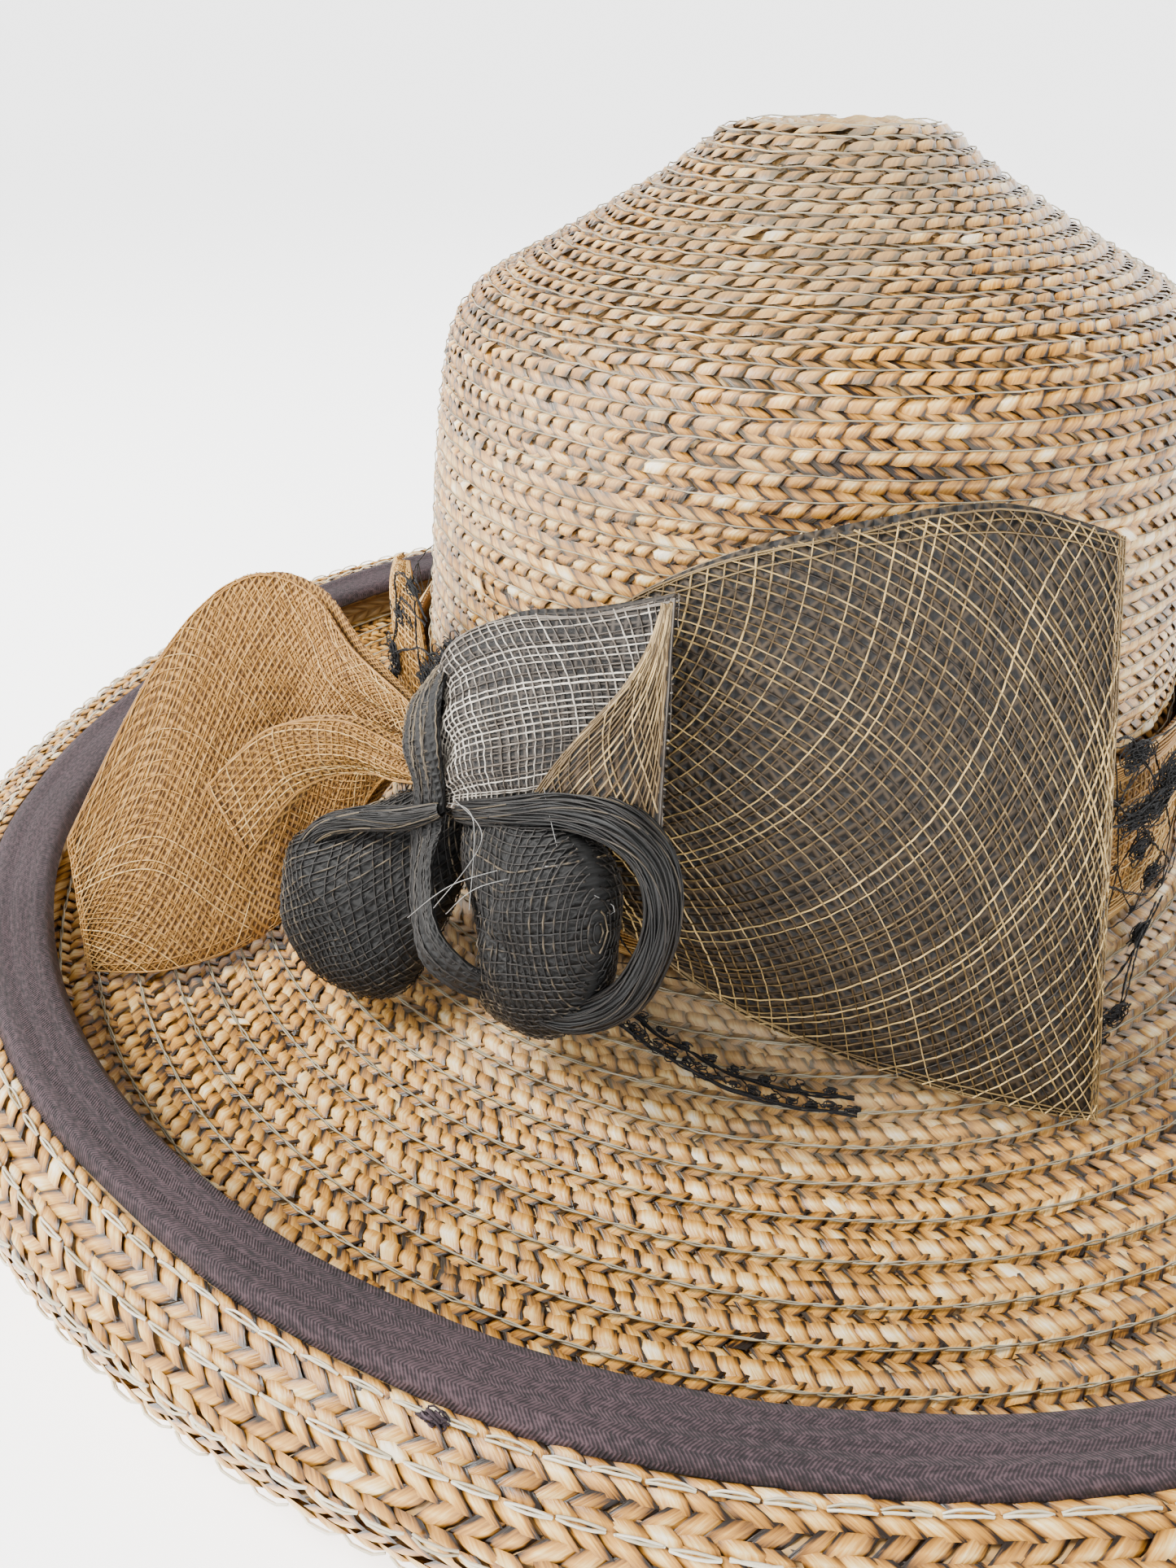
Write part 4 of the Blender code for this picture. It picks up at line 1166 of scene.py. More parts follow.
@dataclass
class Weave:
    """Strands of an open weave laid over a cloth surface, both ways on the cloth's own flat cut."""

    width: float
    length: float
    spacing: float
    angle: float
    seed: int
    tone: float = 0.5
    spread: float = 0.2
    strand: float = 0.38 * MM
    thick: float = 0.28 * MM
    lift: float = 0.45 * MM
    across_angle: float = 90.0
    bend: float = 0.0

    def lines(self, angle: float, rng: np.random.Generator) -> list[tuple[Points, Points, float]]:
        """Where the strands of one family start and stop on the flat cloth, in metres.

        Args:
            angle: the family's direction in degrees.
            rng: for uneven spacing.

        Returns:
            Start, stop and length of each strand.
        """
        turn = math.radians(angle)
        along = np.array((math.cos(turn), math.sin(turn)))
        across = np.array((-along[1], along[0]))
        corners = np.array(((0, 0), (self.length, 0), (0, self.width), (self.length, self.width)))
        spots = corners @ across
        found = []
        place = spots.min() - self.spacing / 2
        while place < spots.max() - self.spacing / 2:
            place += self.spacing * (1 + rng.normal(0, 0.13))
            base = across * place
            low, high = -1e9, 1e9
            for axis, limit in ((0, self.length), (1, self.width)):
                if abs(along[axis]) < 1e-6:
                    if not 0 <= base[axis] <= limit:
                        low, high = 1.0, 0.0
                    continue
                ends = ((0 - base[axis]) / along[axis], (limit - base[axis]) / along[axis])
                low = max(low, min(ends))
                high = min(high, max(ends))
            if high - low > 2 * self.spacing:
                found.append((base + along * low, base + along * high, high - low))
        return found

    def build(self, heap: Heap, surface: Surface) -> None:
        """Lay both families of strands on a surface.

        Args:
            heap: what the strands are added to.
            surface: shares along and across and lifts in metres, to points and normals.
        """
        rng = np.random.default_rng(self.seed)
        for family, angle in enumerate((self.angle, self.angle - self.across_angle)):
            for start, stop, length in self.lines(angle, rng):
                count = max(int(length / self.spacing), 4)
                share = np.linspace(0, 1, count)[:, None]
                flat = start + (stop - start) * share
                flat[:, 1] += 0.3 * self.spacing * math.sin(rng.uniform(0, 6.3)) * np.sin(math.pi * share[:, 0])
                over = np.where((np.arange(count) + family) % 2 == 0, 1.0, -1.0)
                run, rise = np.clip(flat[:, 0] / self.length, 0, 1), np.clip(flat[:, 1] / self.width, 0, 1)
                run = run + self.bend * 4 * rise * (1 - rise) * np.sin(math.pi * run)
                points, normals = surface(run, rise, self.lift + over * self.thick * 0.5)
                # Lighter where a strand passes over and darker where it dips under: painted highlight and painted
                # shade at the crossings.
                tones = self.tone + rng.normal(0, self.spread) + 0.10 * over
                heap.strand(points, normals, self.strand * rng.uniform(0.7, 1.3), self.thick, tones)


def measure(piece: bpy.types.Object, cut: tuple[float, float]) -> None:
    """Report a cloth's area beside the area of its flat cut."""
    area = sum(face.area for face in piece.data.polygons)
    LOG.info("%s: area %.0f mm2, cut %.0f mm2", piece.name, area * 1e6, cut[0] * cut[1] * 1e6)


def sheet_piece(name: str, read: Callable[[Points, Points], Points], grid_size: tuple[int, int],
                cut: tuple[float, float], finish: bpy.types.Material, wall: float) -> bpy.types.Object:
    """A sheet of cloth from a map of shares to points, with a UV map in metres of its flat cut.

    Args:
        name: the piece's name.
        read: shares along and across to points.
        grid_size: steps along and across.
        cut: width and length of the flat cloth.
        finish: its material.
        wall: its thickness.

    Returns:
        The cloth.
    """
    grid, faces = unit_grid(*grid_size)
    heap = Heap()
    uvs = np.stack((grid[:, 0] * cut[1], grid[:, 1] * cut[0]), axis=-1)
    heap.surface(read(grid[:, 0], grid[:, 1]), faces, uvs)
    cloth = heap.build(name, finish)
    close(cloth)
    measure(cloth, cut)
    thicken(cloth, wall)
    return cloth


@dataclass
class Loop:
    """A loop of sinamay folded back on itself: its sections, its cut, its pleats and its finishes."""

    name: str
    sections: tuple
    cut: tuple[float, float]
    cloth: bpy.types.Material
    strands: bpy.types.Material
    slot: str
    spacing: float
    angle: float
    seed: int
    pleats: float = 5.0
    pleat_depth: float = 1.4 * MM
    fade: float = 3.2
    tone: float = 0.5
    spread: float = 0.2
    wall: float = 0.4 * MM
    bend: float = 0.0

    def layer(self, side: float) -> Callable[[Points, Points], Points]:
        """The middle surface of one layer: 1 is the outer one, -1 the one nearer the crown."""

        def read(share: Points, across: Points) -> Points:
            """Points at shares from the knot to the fold and from the lower to the upper edge."""
            return self.point(share, across, np.full(np.shape(share), side))

        return read

    def point(self, share: Points, across: Points, side: Points) -> Points:
        """Points of the loop at shares along and across it, on either layer."""
        rows = spline(self.sections, share)
        low = polar(rows[..., 0], rows[..., 1] * TRIM_REACH, rows[..., 2] * TRIM_HEIGHT)
        high = polar(rows[..., 3], rows[..., 4] * TRIM_REACH, rows[..., 5] * TRIM_HEIGHT)
        full = rows[..., 6] * TRIM_REACH
        base = low + (high - low) * across[..., None]
        belly = np.sin(math.pi * across) * np.sin(math.pi * np.minimum(share * 1.15, 1.0))
        depth = 1.4 * MM + full * (0.35 + 0.65 * belly)
        pleat = np.cos(math.tau * self.pleats * across + 0.7 + 2.0 * share) * np.exp(-self.fade * share)
        pleat = self.pleat_depth * pleat * np.minimum(share * 6.0, 1.0)
        move = depth * (side - 1) / 2 + full * 0.7 * belly + pleat
        return base + outwards(base) * move[..., None]

    def around(self, share: Points, across: Points) -> Points:
        """Points of the whole loop: out along the outer layer, and back along the inner one."""
        over = share <= 0.5
        return self.point(np.where(over, share, 1.0 - share) * 2.0, across, np.where(over, 1.0, -1.0))

    def build(self) -> list[bpy.types.Object]:
        """Make the cloth and its strands."""
        cloth = sheet_piece(self.name + "_cloth", self.around, (57, 20), self.cut, self.cloth, self.wall)
        strands = Heap()
        for number, side in enumerate((1.0, -1.0)):
            surface = lifted(self.layer(side), outwards if side > 0 else lambda points: -outwards(points))
            weave = Weave(self.cut[0], self.cut[1] / 2, self.spacing, self.angle, self.seed + number, self.tone,
                          self.spread, bend=self.bend * side)
            weave.build(strands, surface)
            self.bind(strands, surface, side > 0)
        net = strands.build(self.name + "_strands", self.strands)
        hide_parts(self.name)
        return [cloth, net]

    def bind(self, heap: Heap, surface: Surface, fold: bool) -> None:
        """Add the doubled strands along the edges of a layer, and along its fold."""
        rng = np.random.default_rng(self.seed + 50)
        count = 70
        share = np.linspace(0.02, 1.0, count)
        lift = np.full(count, 0.4 * MM)
        for turn in range(3):
            stray = np.cumsum(rng.normal(0, 0.0012, count))
            for across in (0.0, 1.0):
                inwards = 0.009 * turn if across == 0 else -0.009 * turn
                points, normals = surface(share, np.clip(across + inwards + stray, 0, 1), lift)
                heap.strand(points, normals, 0.42 * MM, 0.32 * MM, self.tone - 0.08)
            if fold:
                points, normals = surface(np.full(count, 1.0 - 0.007 * turn), np.linspace(0, 1, count), lift)
                heap.strand(points, normals, 0.42 * MM, 0.32 * MM, self.tone - 0.08)


@dataclass
class Flap:
    """The folded-over tip of the leaf: a brown triangle between the crease and the loop's fold."""

    leaf: Loop
    cloth: bpy.types.Material
    strands: bpy.types.Material
    cut: tuple[float, float] = (0.0160, 0.0255)

    def read(self, share: Points, across: Points) -> Points:
        """Points from the crease, at 0, to the loop's fold, at 1."""
        crease = 0.97 - 0.46 * (1 - across) ** 1.4
        here = self.leaf.point(crease + (1.0 - crease) * share, across, np.ones(np.shape(share)))
        rise = 1.5 * MM + 1.6 * MM * np.sin(math.pi * np.minimum(share * 1.2, 1.0)) * (1 - across * 0.6)
        return here + outwards(here) * rise[..., None]

    def build(self) -> list[bpy.types.Object]:
        """Make the flap's cloth and its strands."""
        cloth = sheet_piece("bow_leaf_flap_cloth", self.read, (14, 22), self.cut, self.cloth, 0.35 * MM)
        strands = Heap()
        surface = lifted(self.read, outwards)
        Weave(self.cut[0], self.cut[1], 1.35 * MM, -24.0, 61, 0.50).build(strands, surface)
        count = 40
        for turn in range(4):
            ends = np.full(count, 0.025 * turn)
            points, normals = surface(ends, np.linspace(0, 1, count), np.full(count, 0.4 * MM))
            strands.strand(points, normals, 0.5 * MM, 0.4 * MM, 0.45)
        net = strands.build("bow_leaf_flap_strands", self.strands)
        return [cloth, net]


@dataclass
class Rosette:
    """A pouch of dark sinamay gathered into the knot, with a dented mouth and a rolled rim."""

    name: str
    place: tuple[float, float, float]
    size: tuple[float, float, float]
    root: tuple[float, float, float]
    rim: tuple
    rim_size: float
    dent: tuple[float, float, float]
    angle: float
    cloth: bpy.types.Material
    strands: bpy.types.Material
    seed: int
    spacing: float = 1.5 * MM
    rim_clear: float = 4.0 * MM
    axes: tuple = field(init=False)

    def __post_init__(self) -> None:
        """Find the pouch's own directions, from its centre to its root in the knot."""
        centre = trim_place(self.place)
        knot = trim_place(KNOT_PLACE)
        out = outwards(knot[None])[0]
        side = np.array((-out[1], out[0], 0.0))
        for way, share, length in zip((side, out, np.array((0.0, 0.0, 1.0))), self.root, KNOT_SIZE):
            knot = knot + way * share * length
        up = unit((knot - centre)[None])[0]
        out = unit((out - up * out.dot(up))[None])[0]
        self.axes = (centre, np.cross(out, up), out, up, float(np.linalg.norm(knot - centre)))

    def shape(self, x: Points, y: Points, front: Points | float) -> Points:
        """Points of the pouch over the flat disc of its outline.

        Args:
            x: shares across it.
            y: shares towards the knot.
            front: 1 for the front half, -1 for the back half.

        Returns:
            Points.
        """
        centre, side, out, up, reach = self.axes
        bulge = np.sqrt(np.maximum(1.0 - x**2 - y**2, 0.0))
        full = (1 + 0.05 * np.cos(5 * np.arctan2(y, x) + 0.5)) * (1 - 0.42 * np.maximum(y, 0.0))
        hollow = self.dent[2] * np.exp(-((x - self.dent[0]) / 0.34) ** 2 - ((y - self.dent[1]) / 0.26) ** 2)
        crumple = 0.05 * np.sin(6 * x + 3 * y) * bulge
        depth = front * bulge * full - np.where(np.asarray(front) > 0, hollow * bulge, 0.0) + crumple
        length = np.where(y > 0, reach, self.size[2] / 2)
        return (
            centre
            + side * (x * self.size[0] / 2 * full)[..., None]
            + out * (depth * self.size[1] / 2)[..., None]
            + up * (y * length)[..., None]
        )

    def weave(self, heap: Heap, front: float) -> None:
        """Lay two families of strands over one half, evenly over its curve."""
        rng = np.random.default_rng(self.seed + int(front))
        turn = math.radians(self.angle)
        centre = self.axes[0]

        def read(share: Points, across: Points) -> Points:
            """Points over the square round the pouch's outline, turned by the weave's angle."""
            u, v = share * 2 - 1, across * 2 - 1
            far = np.maximum(np.hypot(u, v), 1.0)
            u, v = u / far, v / far
            return self.shape(u * math.cos(turn) - v * math.sin(turn), u * math.sin(turn) + v * math.cos(turn),
                              front)

        surface = lifted(read, lambda points: points - centre)
        lanes = int(math.pi * self.size[2] / 2 / self.spacing)
        for family in (0, 1):
            for lane in range(1, lanes):
                place = math.sin(math.pi * (lane / lanes - 0.5 + rng.normal(0, 0.004)))
                chord = math.sqrt(max(1 - place**2, 0.0)) * 0.99
                count = max(int(math.pi * chord * self.size[2] / 2 / self.spacing), 5)
                run = chord * np.sin(np.linspace(-math.pi / 2, math.pi / 2, count))
                level = np.full(count, place)
                u, v = (run, level) if family == 0 else (level, run)
                over = np.where((np.arange(count) + family) % 2 == 0, 1.0, -1.0)
                points, normals = surface((u + 1) / 2, (v + 1) / 2, 0.35 * MM + 0.13 * MM * over)
                # Lighter where a strand passes over and darker where it dips under: painted highlight and painted
                # shade at the crossings.
                tones = 0.40 + rng.normal(0, 0.15) + 0.12 * over
                heap.strand(points, normals, 0.42 * MM, 0.26 * MM, tones)

    def roll(self, heap: Heap) -> None:
        """Add the rolled rim: strands that run along it and cross each other at a slant."""
        rng = np.random.default_rng(self.seed + 9)
        count = 54
        path = table_points(self.rim, count)
        path = path + unit(np.array(CAMERA_PLACE) - path) * self.rim_clear
        tangent = unit(np.gradient(path, axis=0))
        side = unit(np.cross(tangent, outwards(path)))
        out = np.cross(side, tangent)
        share = np.linspace(0, 1, count)
        size = self.rim_size * (0.55 + 0.45 * np.sin(math.pi * np.clip(share * 1.1, 0, 1)) ** 0.6)
        size = size * (1 + 0.10 * np.sin(14 * share + self.seed))
        # A dark core inside the rolled rim: painted shade seen between the rim's strands.
        for core in range(16):
            angle = math.tau * core / 16
            spot = side * math.cos(angle) + out * math.sin(angle)
            heap.strand(path + spot * (size * 0.84)[:, None], spot, 1.7 * MM, 0.3 * MM, -0.4)
        for strand in range(46):
            twist = rng.choice((-1.0, 1.0)) * rng.uniform(0.5, 1.6)
            angle = math.tau * (strand / 46) + twist * share * 2.2
            spot = side * np.cos(angle)[:, None] + out * np.sin(angle)[:, None]
            line = path + spot * (size * rng.uniform(0.93, 1.05))[:, None]
            heap.strand(line, spot, 0.42 * MM, 0.3 * MM, 0.24 + rng.normal(0, 0.22))

    def build(self) -> list[bpy.types.Object]:
        """Make the pouch's cloth, its strands and its rolled rim."""
        builder = bmesh.new()
        bmesh.ops.create_uvsphere(builder, u_segments=48, v_segments=32, radius=1.0)
        builder.verts.index_update()
        local = np.array([v.co[:] for v in builder.verts])
        faces = [[v.index for v in face.verts] for face in builder.faces]
        builder.free()
        points = self.shape(local[:, 0], local[:, 2], np.where(local[:, 1] <= 0, 1.0, -1.0))
        mesh = bpy.data.meshes.new(self.name + "_cloth")
        mesh.from_pydata([tuple(p) for p in points], [], faces)
        layer = mesh.uv_layers.new(name="UVMap")
        for loop in mesh.loops:
            layer.data[loop.index].uv = local[loop.vertex_index, [0, 2]] * 0.5 * self.size[0]
        mesh.shade_smooth()
        mesh.materials.append(self.cloth)
        cloth = bpy.data.objects.new(self.name + "_cloth", mesh)
        bpy.context.scene.collection.objects.link(cloth)
        close(cloth)
        strands = Heap()
        for front in (1.0, -1.0):
            self.weave(strands, front)
        self.roll(strands)
        net = strands.build(self.name + "_strands", self.strands)
        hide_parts(self.name)
        return [cloth, net]


@dataclass
class Gathers:
    """The knot and the strap over it: gathered dark sinamay with loose hairs."""

    cloth: bpy.types.Material
    strands: bpy.types.Material
    hair: bpy.types.Material
    strap_cut: tuple[float, float] = (0.0160, 0.075)
    puckers: int = 9

    def strap_line(self, share: Points) -> tuple[Points, Points]:
        """Points along the middle of the strap, and half its width there."""
        rows = spline(STRAP_SECTIONS, share)
        middle = polar(rows[..., 0], STRAP_SEAT + rows[..., 1] * KNOT_SIZE[1], rows[..., 2] * TRIM_HEIGHT)
        return middle, rows[..., 3] * TRIM_REACH

    def strap_read(self, share: Points, across: Points) -> Points:
        """Points of the strap's outer face."""
        centre, half = self.strap_line(share)
        run = self.strap_line(np.minimum(share + 0.02, 1.0))[0] - self.strap_line(np.maximum(share - 0.02, 0.0))[0]
        out = outwards(centre)
        side = unit(np.cross(unit(run), out))
        bow = 1.1 * MM * np.cos(math.pi * (across - 0.5)) + 0.3 * MM * np.cos(6 * math.pi * across + 5 * share)
        return centre + side * ((across * 2 - 1) * half)[..., None] + out * bow[..., None]

    def strap_round(self, share: Points, across: Points) -> Points:
        """Points of the strap's cloth, whose edges are turned under on both sides."""
        centre, half = self.strap_line(share)
        run = self.strap_line(np.minimum(share + 0.02, 1.0))[0] - self.strap_line(np.maximum(share - 0.02, 0.0))[0]
        out = outwards(centre)
        side = unit(np.cross(unit(run), out))
        turn = (across - 0.5) * math.tau * 0.8
        return centre + side * (half * np.sin(turn))[..., None] + out * (1.3 * MM * np.cos(turn))[..., None]

    def strap(self) -> list[bpy.types.Object]:
        """Make the strap's cloth and its strands."""
        cloth = sheet_piece("bow_strap_cloth", self.strap_round, (60, 12), self.strap_cut, self.cloth, 0.5 * MM)
        strands = Heap()
        surface = lifted(self.strap_read, outwards)
        rng = np.random.default_rng(71)
        count = 60
        share = np.linspace(0, 1, count)
        for strand in range(26):
            across = np.clip((strand + 0.5) / 26 + 0.09 * np.sin(9 * share + rng.uniform(0, 6.3)), 0.0, 1.0)
            lift = 0.4 * MM + 0.12 * MM * np.where((np.arange(count) + strand) % 2 == 0, 1, -1)
            points, normals = surface(share, across, lift)
            # Lighter at the strap's upper end and darker towards its lower end: painted light and painted shade.
            tones = np.clip(0.72 - 0.7 * share, 0.30, 1.0) + rng.normal(0, 0.16)
            strands.strand(points, normals, 0.42 * MM, 0.3 * MM, tones)
        span = np.linspace(0, 1, 9)
        for _ in range(64):
            spot = np.clip(rng.uniform(0, 0.96) + 0.035 * span * rng.choice((-1, 1)), 0, 1)
            points, normals = surface(spot, span, np.full(9, 0.42 * MM))
            # The cross strands darken the same way along the strap: painted light and painted shade.
            strands.strand(points, normals, 0.36 * MM, 0.26 * MM, np.clip(0.7 - 0.7 * spot, 0.28, 1))
        net = strands.build("bow_strap_strands", self.strands)
        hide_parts("bow_strap")
        return [cloth, net]

    def knot(self) -> list[bpy.types.Object]:
        """Make the knot's core and the gathered strands wound over it."""
        centre = trim_place(KNOT_PLACE)
        out = outwards(centre[None])[0]
        ways = np.stack((np.array((-out[1], out[0], 0.0)), out, np.array((0.0, 0.0, 1.0))))
        size = np.array(KNOT_SIZE)
        builder = bmesh.new()
        bmesh.ops.create_uvsphere(builder, u_segments=40, v_segments=24, radius=0.47)
        for vert in builder.verts:
            local = np.array(vert.co[:])
            pleat = 1 + 0.08 * math.sin(self.puckers * math.atan2(local[2], local[1]))
            vert.co = Vector(centre + (local * size * pleat) @ ways)
        bmesh.ops.recalc_face_normals(builder, faces=builder.faces[:])
        mesh = bpy.data.meshes.new("bow_knot_core")
        builder.to_mesh(mesh)
        builder.free()
        mesh.shade_smooth()
        mesh.materials.append(self.cloth)
        mesh.uv_layers.new(name="UVMap")
        core = bpy.data.objects.new("bow_knot_core", mesh)
        bpy.context.scene.collection.objects.link(core)
        rng = np.random.default_rng(81)
        heap = Heap()
        span = np.linspace(0.06, 0.94, 24)
        for _ in range(100):
            turn = rng.uniform(0, math.tau) + 0.5 * np.sin(span * rng.uniform(2, 7) + rng.uniform(0, 6.3))
            lean = np.sin(span * math.pi)
            local = np.stack((np.cos(span * math.pi), lean * np.cos(turn), lean * np.sin(turn)), axis=-1)
            pleat = (1 + 0.08 * np.sin(self.puckers * turn)) * rng.uniform(0.97, 1.06)
            line = centre + (local * pleat[:, None] * size / 2) @ ways
            heap.strand(line, local @ ways, 0.42 * MM, 0.3 * MM, 0.42 + rng.normal(0, 0.24))
        net = heap.build("bow_knot_strands", self.strands)
        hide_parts("bow_knot")
        return [core, net]

    def hairs(self) -> bpy.types.Object:
        """Make the loose pale hairs and curls that have frayed from the rosettes and the knot."""
        rng = np.random.default_rng(91)
        heap = Heap()
        for azimuth, radius, height, size, count in BOW_CURLS:
            curls(heap, rng, polar(azimuth, radius * MM, height * MM), size * MM, count, 0.16 * MM, 0.7)
        for hair in BOW_HAIRS:
            line = table_points(hair, 24)
            heap.strand(line, outwards(line), 0.16 * MM, 0.16 * MM, 0.35)
        return heap.build("bow_loose_hairs", self.hair)

    def build(self) -> list[bpy.types.Object]:
        """Make the knot, the strap and the hairs."""
        pieces = self.strap() + self.knot() + [self.hairs()]
        return pieces


@dataclass
class CrownBand:
    """The folded sinamay strip round the foot of the crown, with rolled hems and an upright pleat."""

    cloth: bpy.types.Material
    strands: bpy.types.Material
    cut: tuple[float, float] = (0.0385, 0.588)
    pleat_cut: tuple[float, float] = (0.018, 0.034)
    foot: float = 23.5 * MM
    lean: float = 3.6 * MM
    puff: float = 1.4 * MM

    def read(self, share: Points, across: Points) -> Points:
        """Points of the band's outer face at shares round it and up it."""
        azimuth = -180.0 + 360.0 * share
        swell = np.sin(math.pi * across)
        radius = BAND_RADIUS - self.lean * across + self.puff * swell
        radius = radius + 0.35 * MM * np.sin(np.radians(azimuth) * 7) * swell
        return polar(azimuth, radius, self.foot + BAND_HEIGHT * across)

    def pleat_read(self, share: Points, across: Points) -> Points:
        """Points of the upright pleat, from its foot to its tip and from its left to its right edge."""
        rows = spline(BAND_PLEAT, share)
        azimuth = rows[..., 0] + (rows[..., 2] - rows[..., 0]) * across
        height = rows[..., 1] + (rows[..., 3] - rows[..., 1]) * across
        radius = 96.5 + 1.6 * np.sin(math.pi * across) + 0.8 * share
        return polar(azimuth, radius * MM, height * MM)

    def build(self) -> list[bpy.types.Object]:
        """Make the band and its pleat, with their strands and hems."""
        cloth = sheet_piece("crown_band_cloth", self.read, (180, 10), self.cut, self.cloth, 0.6 * MM)
        strands = Heap()
        surface = lifted(self.read, outwards)
        weave = Weave(self.cut[0], self.cut[1], 2.2 * MM, 0.0, 111, 0.72, 0.15, 0.5 * MM, across_angle=86.0)
        weave.build(strands, surface)
        rng = np.random.default_rng(112)
        count = 130
        share = np.linspace(0, 1, count)
        for edge in (0.0, 1.0):
            for strand in range(9):
                across = np.full(count, edge + (0.5 - edge) * 0.0275 * strand)
                bundle = 1.0 * MM * math.sin(math.pi * (strand + 1) / 10) + 0.3 * MM
                points, normals = surface(share, across, bundle + 0.12 * MM * np.sin(share * 160 + strand))
                strands.strand(points, normals, 0.55 * MM, 0.4 * MM, 0.62 + rng.normal(0, 0.12))
        net = strands.build("crown_band_strands", self.strands)
        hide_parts("crown_band")
        pieces = [cloth, net] + self.pleat()
        return pieces

    def pleat(self) -> list[bpy.types.Object]:
        """Make the upright pleat beside the knot."""
        cloth = sheet_piece("crown_band_pleat", self.pleat_read, (20, 10), self.pleat_cut, self.cloth, 0.5 * MM)
        strands = Heap()
        surface = lifted(self.pleat_read, outwards)
        Weave(self.pleat_cut[0], self.pleat_cut[1], 1.4 * MM, 12.0, 115, 0.55).build(strands, surface)
        count = 30
        share = np.linspace(0, 1, count)
        for across in (0.0, 0.03, 0.06, 0.94, 0.97, 1.0):
            points, normals = surface(share, np.full(count, across), np.full(count, 0.5 * MM))
            strands.strand(points, normals, 0.5 * MM, 0.4 * MM, 0.6)
        net = strands.build("crown_band_pleat_strands", self.strands)
        return [cloth, net]


@dataclass
class Lace:
    """Black lace net round the band: fine cords between knotted clumps, and a worked edge."""

    yarn: bpy.types.Material
    low: float = 24.0
    high: float = 68.0
    lean: float = 3.2
    columns: int = 44

    def cord(self, heap: Heap, rng: np.random.Generator, path: Points, width: float, plies: int = 3) -> None:
        """Add one cord: a few fine plies that wander round a path."""
        out = outwards(path)
        share = np.linspace(0, math.tau, len(path))
        for _ in range(plies):
            phase = rng.uniform(0, math.tau)
            rise = np.sin(share * rng.uniform(2, 5) + phase) * 0.5 * width
            side = np.cos(share * rng.uniform(2, 5) + phase) * 0.5 * width
            line = path + out * (0.3 * MM + np.abs(side))[:, None]
            line = line + np.array((0.0, 0.0, 1.0)) * rise[:, None]
            heap.strand(line, out, width * 0.55, width * 0.5, 0.4 + rng.normal(0, 0.2))

    def spots(self, rng: np.random.Generator) -> dict[tuple[int, int], tuple[float, float, float]]:
        """Where the net's knots lie: azimuth, radius and height for each column and level."""
        levels = (self.high, self.high - 15.0, self.low + 14.0, self.low)
        found = {}
        for column in range(self.columns):
            for level, height in enumerate(levels):
                azimuth = (column + 0.5 * (level % 2)) * 360.0 / self.columns + rng.normal(0, 1.5)
                rise = height + rng.normal(0, 2.0) * (0.4 if level in (0, 3) else 1.0)
                radius = NET_RADIUS / MM - self.lean * (height - self.low) / (self.high - self.low)
                found[column, level] = (azimuth, radius, rise)
        return found

    def net(self) -> bpy.types.Object:
        """Make the net all round the band."""
        rng = np.random.default_rng(121)
        heap = Heap()
        spots = self.spots(rng)
        share = np.linspace(0, 1, 7)
        for (column, level), spot in spots.items():
            links = [((column + 1) % self.columns, level)] if level in (0, 3) else []
            if level < 3:
                links.append((column, level + 1))
                links.append(((column + (1 if level % 2 else -1)) % self.columns, level + 1))
            for link in links:
                other = spots[link]
                gap = (other[0] - spot[0] + 180.0) % 360.0 - 180.0
                sag = 1.6 * np.sin(math.pi * share) * rng.uniform(-0.4, 1)
                path = polar(spot[0] + gap * share, (spot[1] + (other[1] - spot[1]) * share) * MM,
                             (spot[2] + (other[2] - spot[2]) * share - sag) * MM)
                self.cord(heap, rng, path, 0.5 * MM, 2)
            if rng.random() < 0.7:
                centre = polar(spot[0], spot[1] * MM, spot[2] * MM)
                curls(heap, rng, centre, rng.uniform(1.0, 2.2) * MM, 6, 0.3 * MM, 0.4)
        return heap.build("lace_net_yarn", self.yarn)

    def clumps(self) -> bpy.types.Object:
        """Make the clumps and cords beside the bow, and the worked edge on the brim under the fan."""
        rng = np.random.default_rng(123)
        heap = Heap()
        for azimuth, radius, height, size in LACE_KNOTS:
            centre = polar(azimuth, radius * MM, height * MM)
            curls(heap, rng, centre, size * MM * 0.95, int(9 * size), 0.30 * MM, 0.25)
        for rows in LACE_CORDS:
            self.cord(heap, rng, table_points(rows, 30), 0.6 * MM, 3)
        for shift in (0.0, 3.2):
            path = table_points(tuple((a, r + shift, z - shift * 0.22) for a, r, z in LACE_EDGE), 50)
            self.cord(heap, rng, path, 0.8 * MM, 4)
            for index in range(0, 50, 3 if shift else 5):
                curls(heap, rng, path[index] + np.array((0, 0, 0.8 * MM)), 1.5 * MM, 8, 0.32 * MM, 0.5)
        edge = table_points(LACE_EDGE, 40)
        for index in range(0, 36, 4):
            far = edge[index + 3] + outwards(edge[index + 3][None])[0] * 3.0 * MM
            path = edge[index] + (far - edge[index]) * np.linspace(0, 1, 10)[:, None]
            self.cord(heap, rng, path, 0.5 * MM, 2)
        return heap.build("lace_clumps", self.yarn)

    def build(self) -> list[bpy.types.Object]:
        """Make the lace."""
        pieces = [self.net(), self.clumps()]
        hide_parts("lace_net")
        return pieces


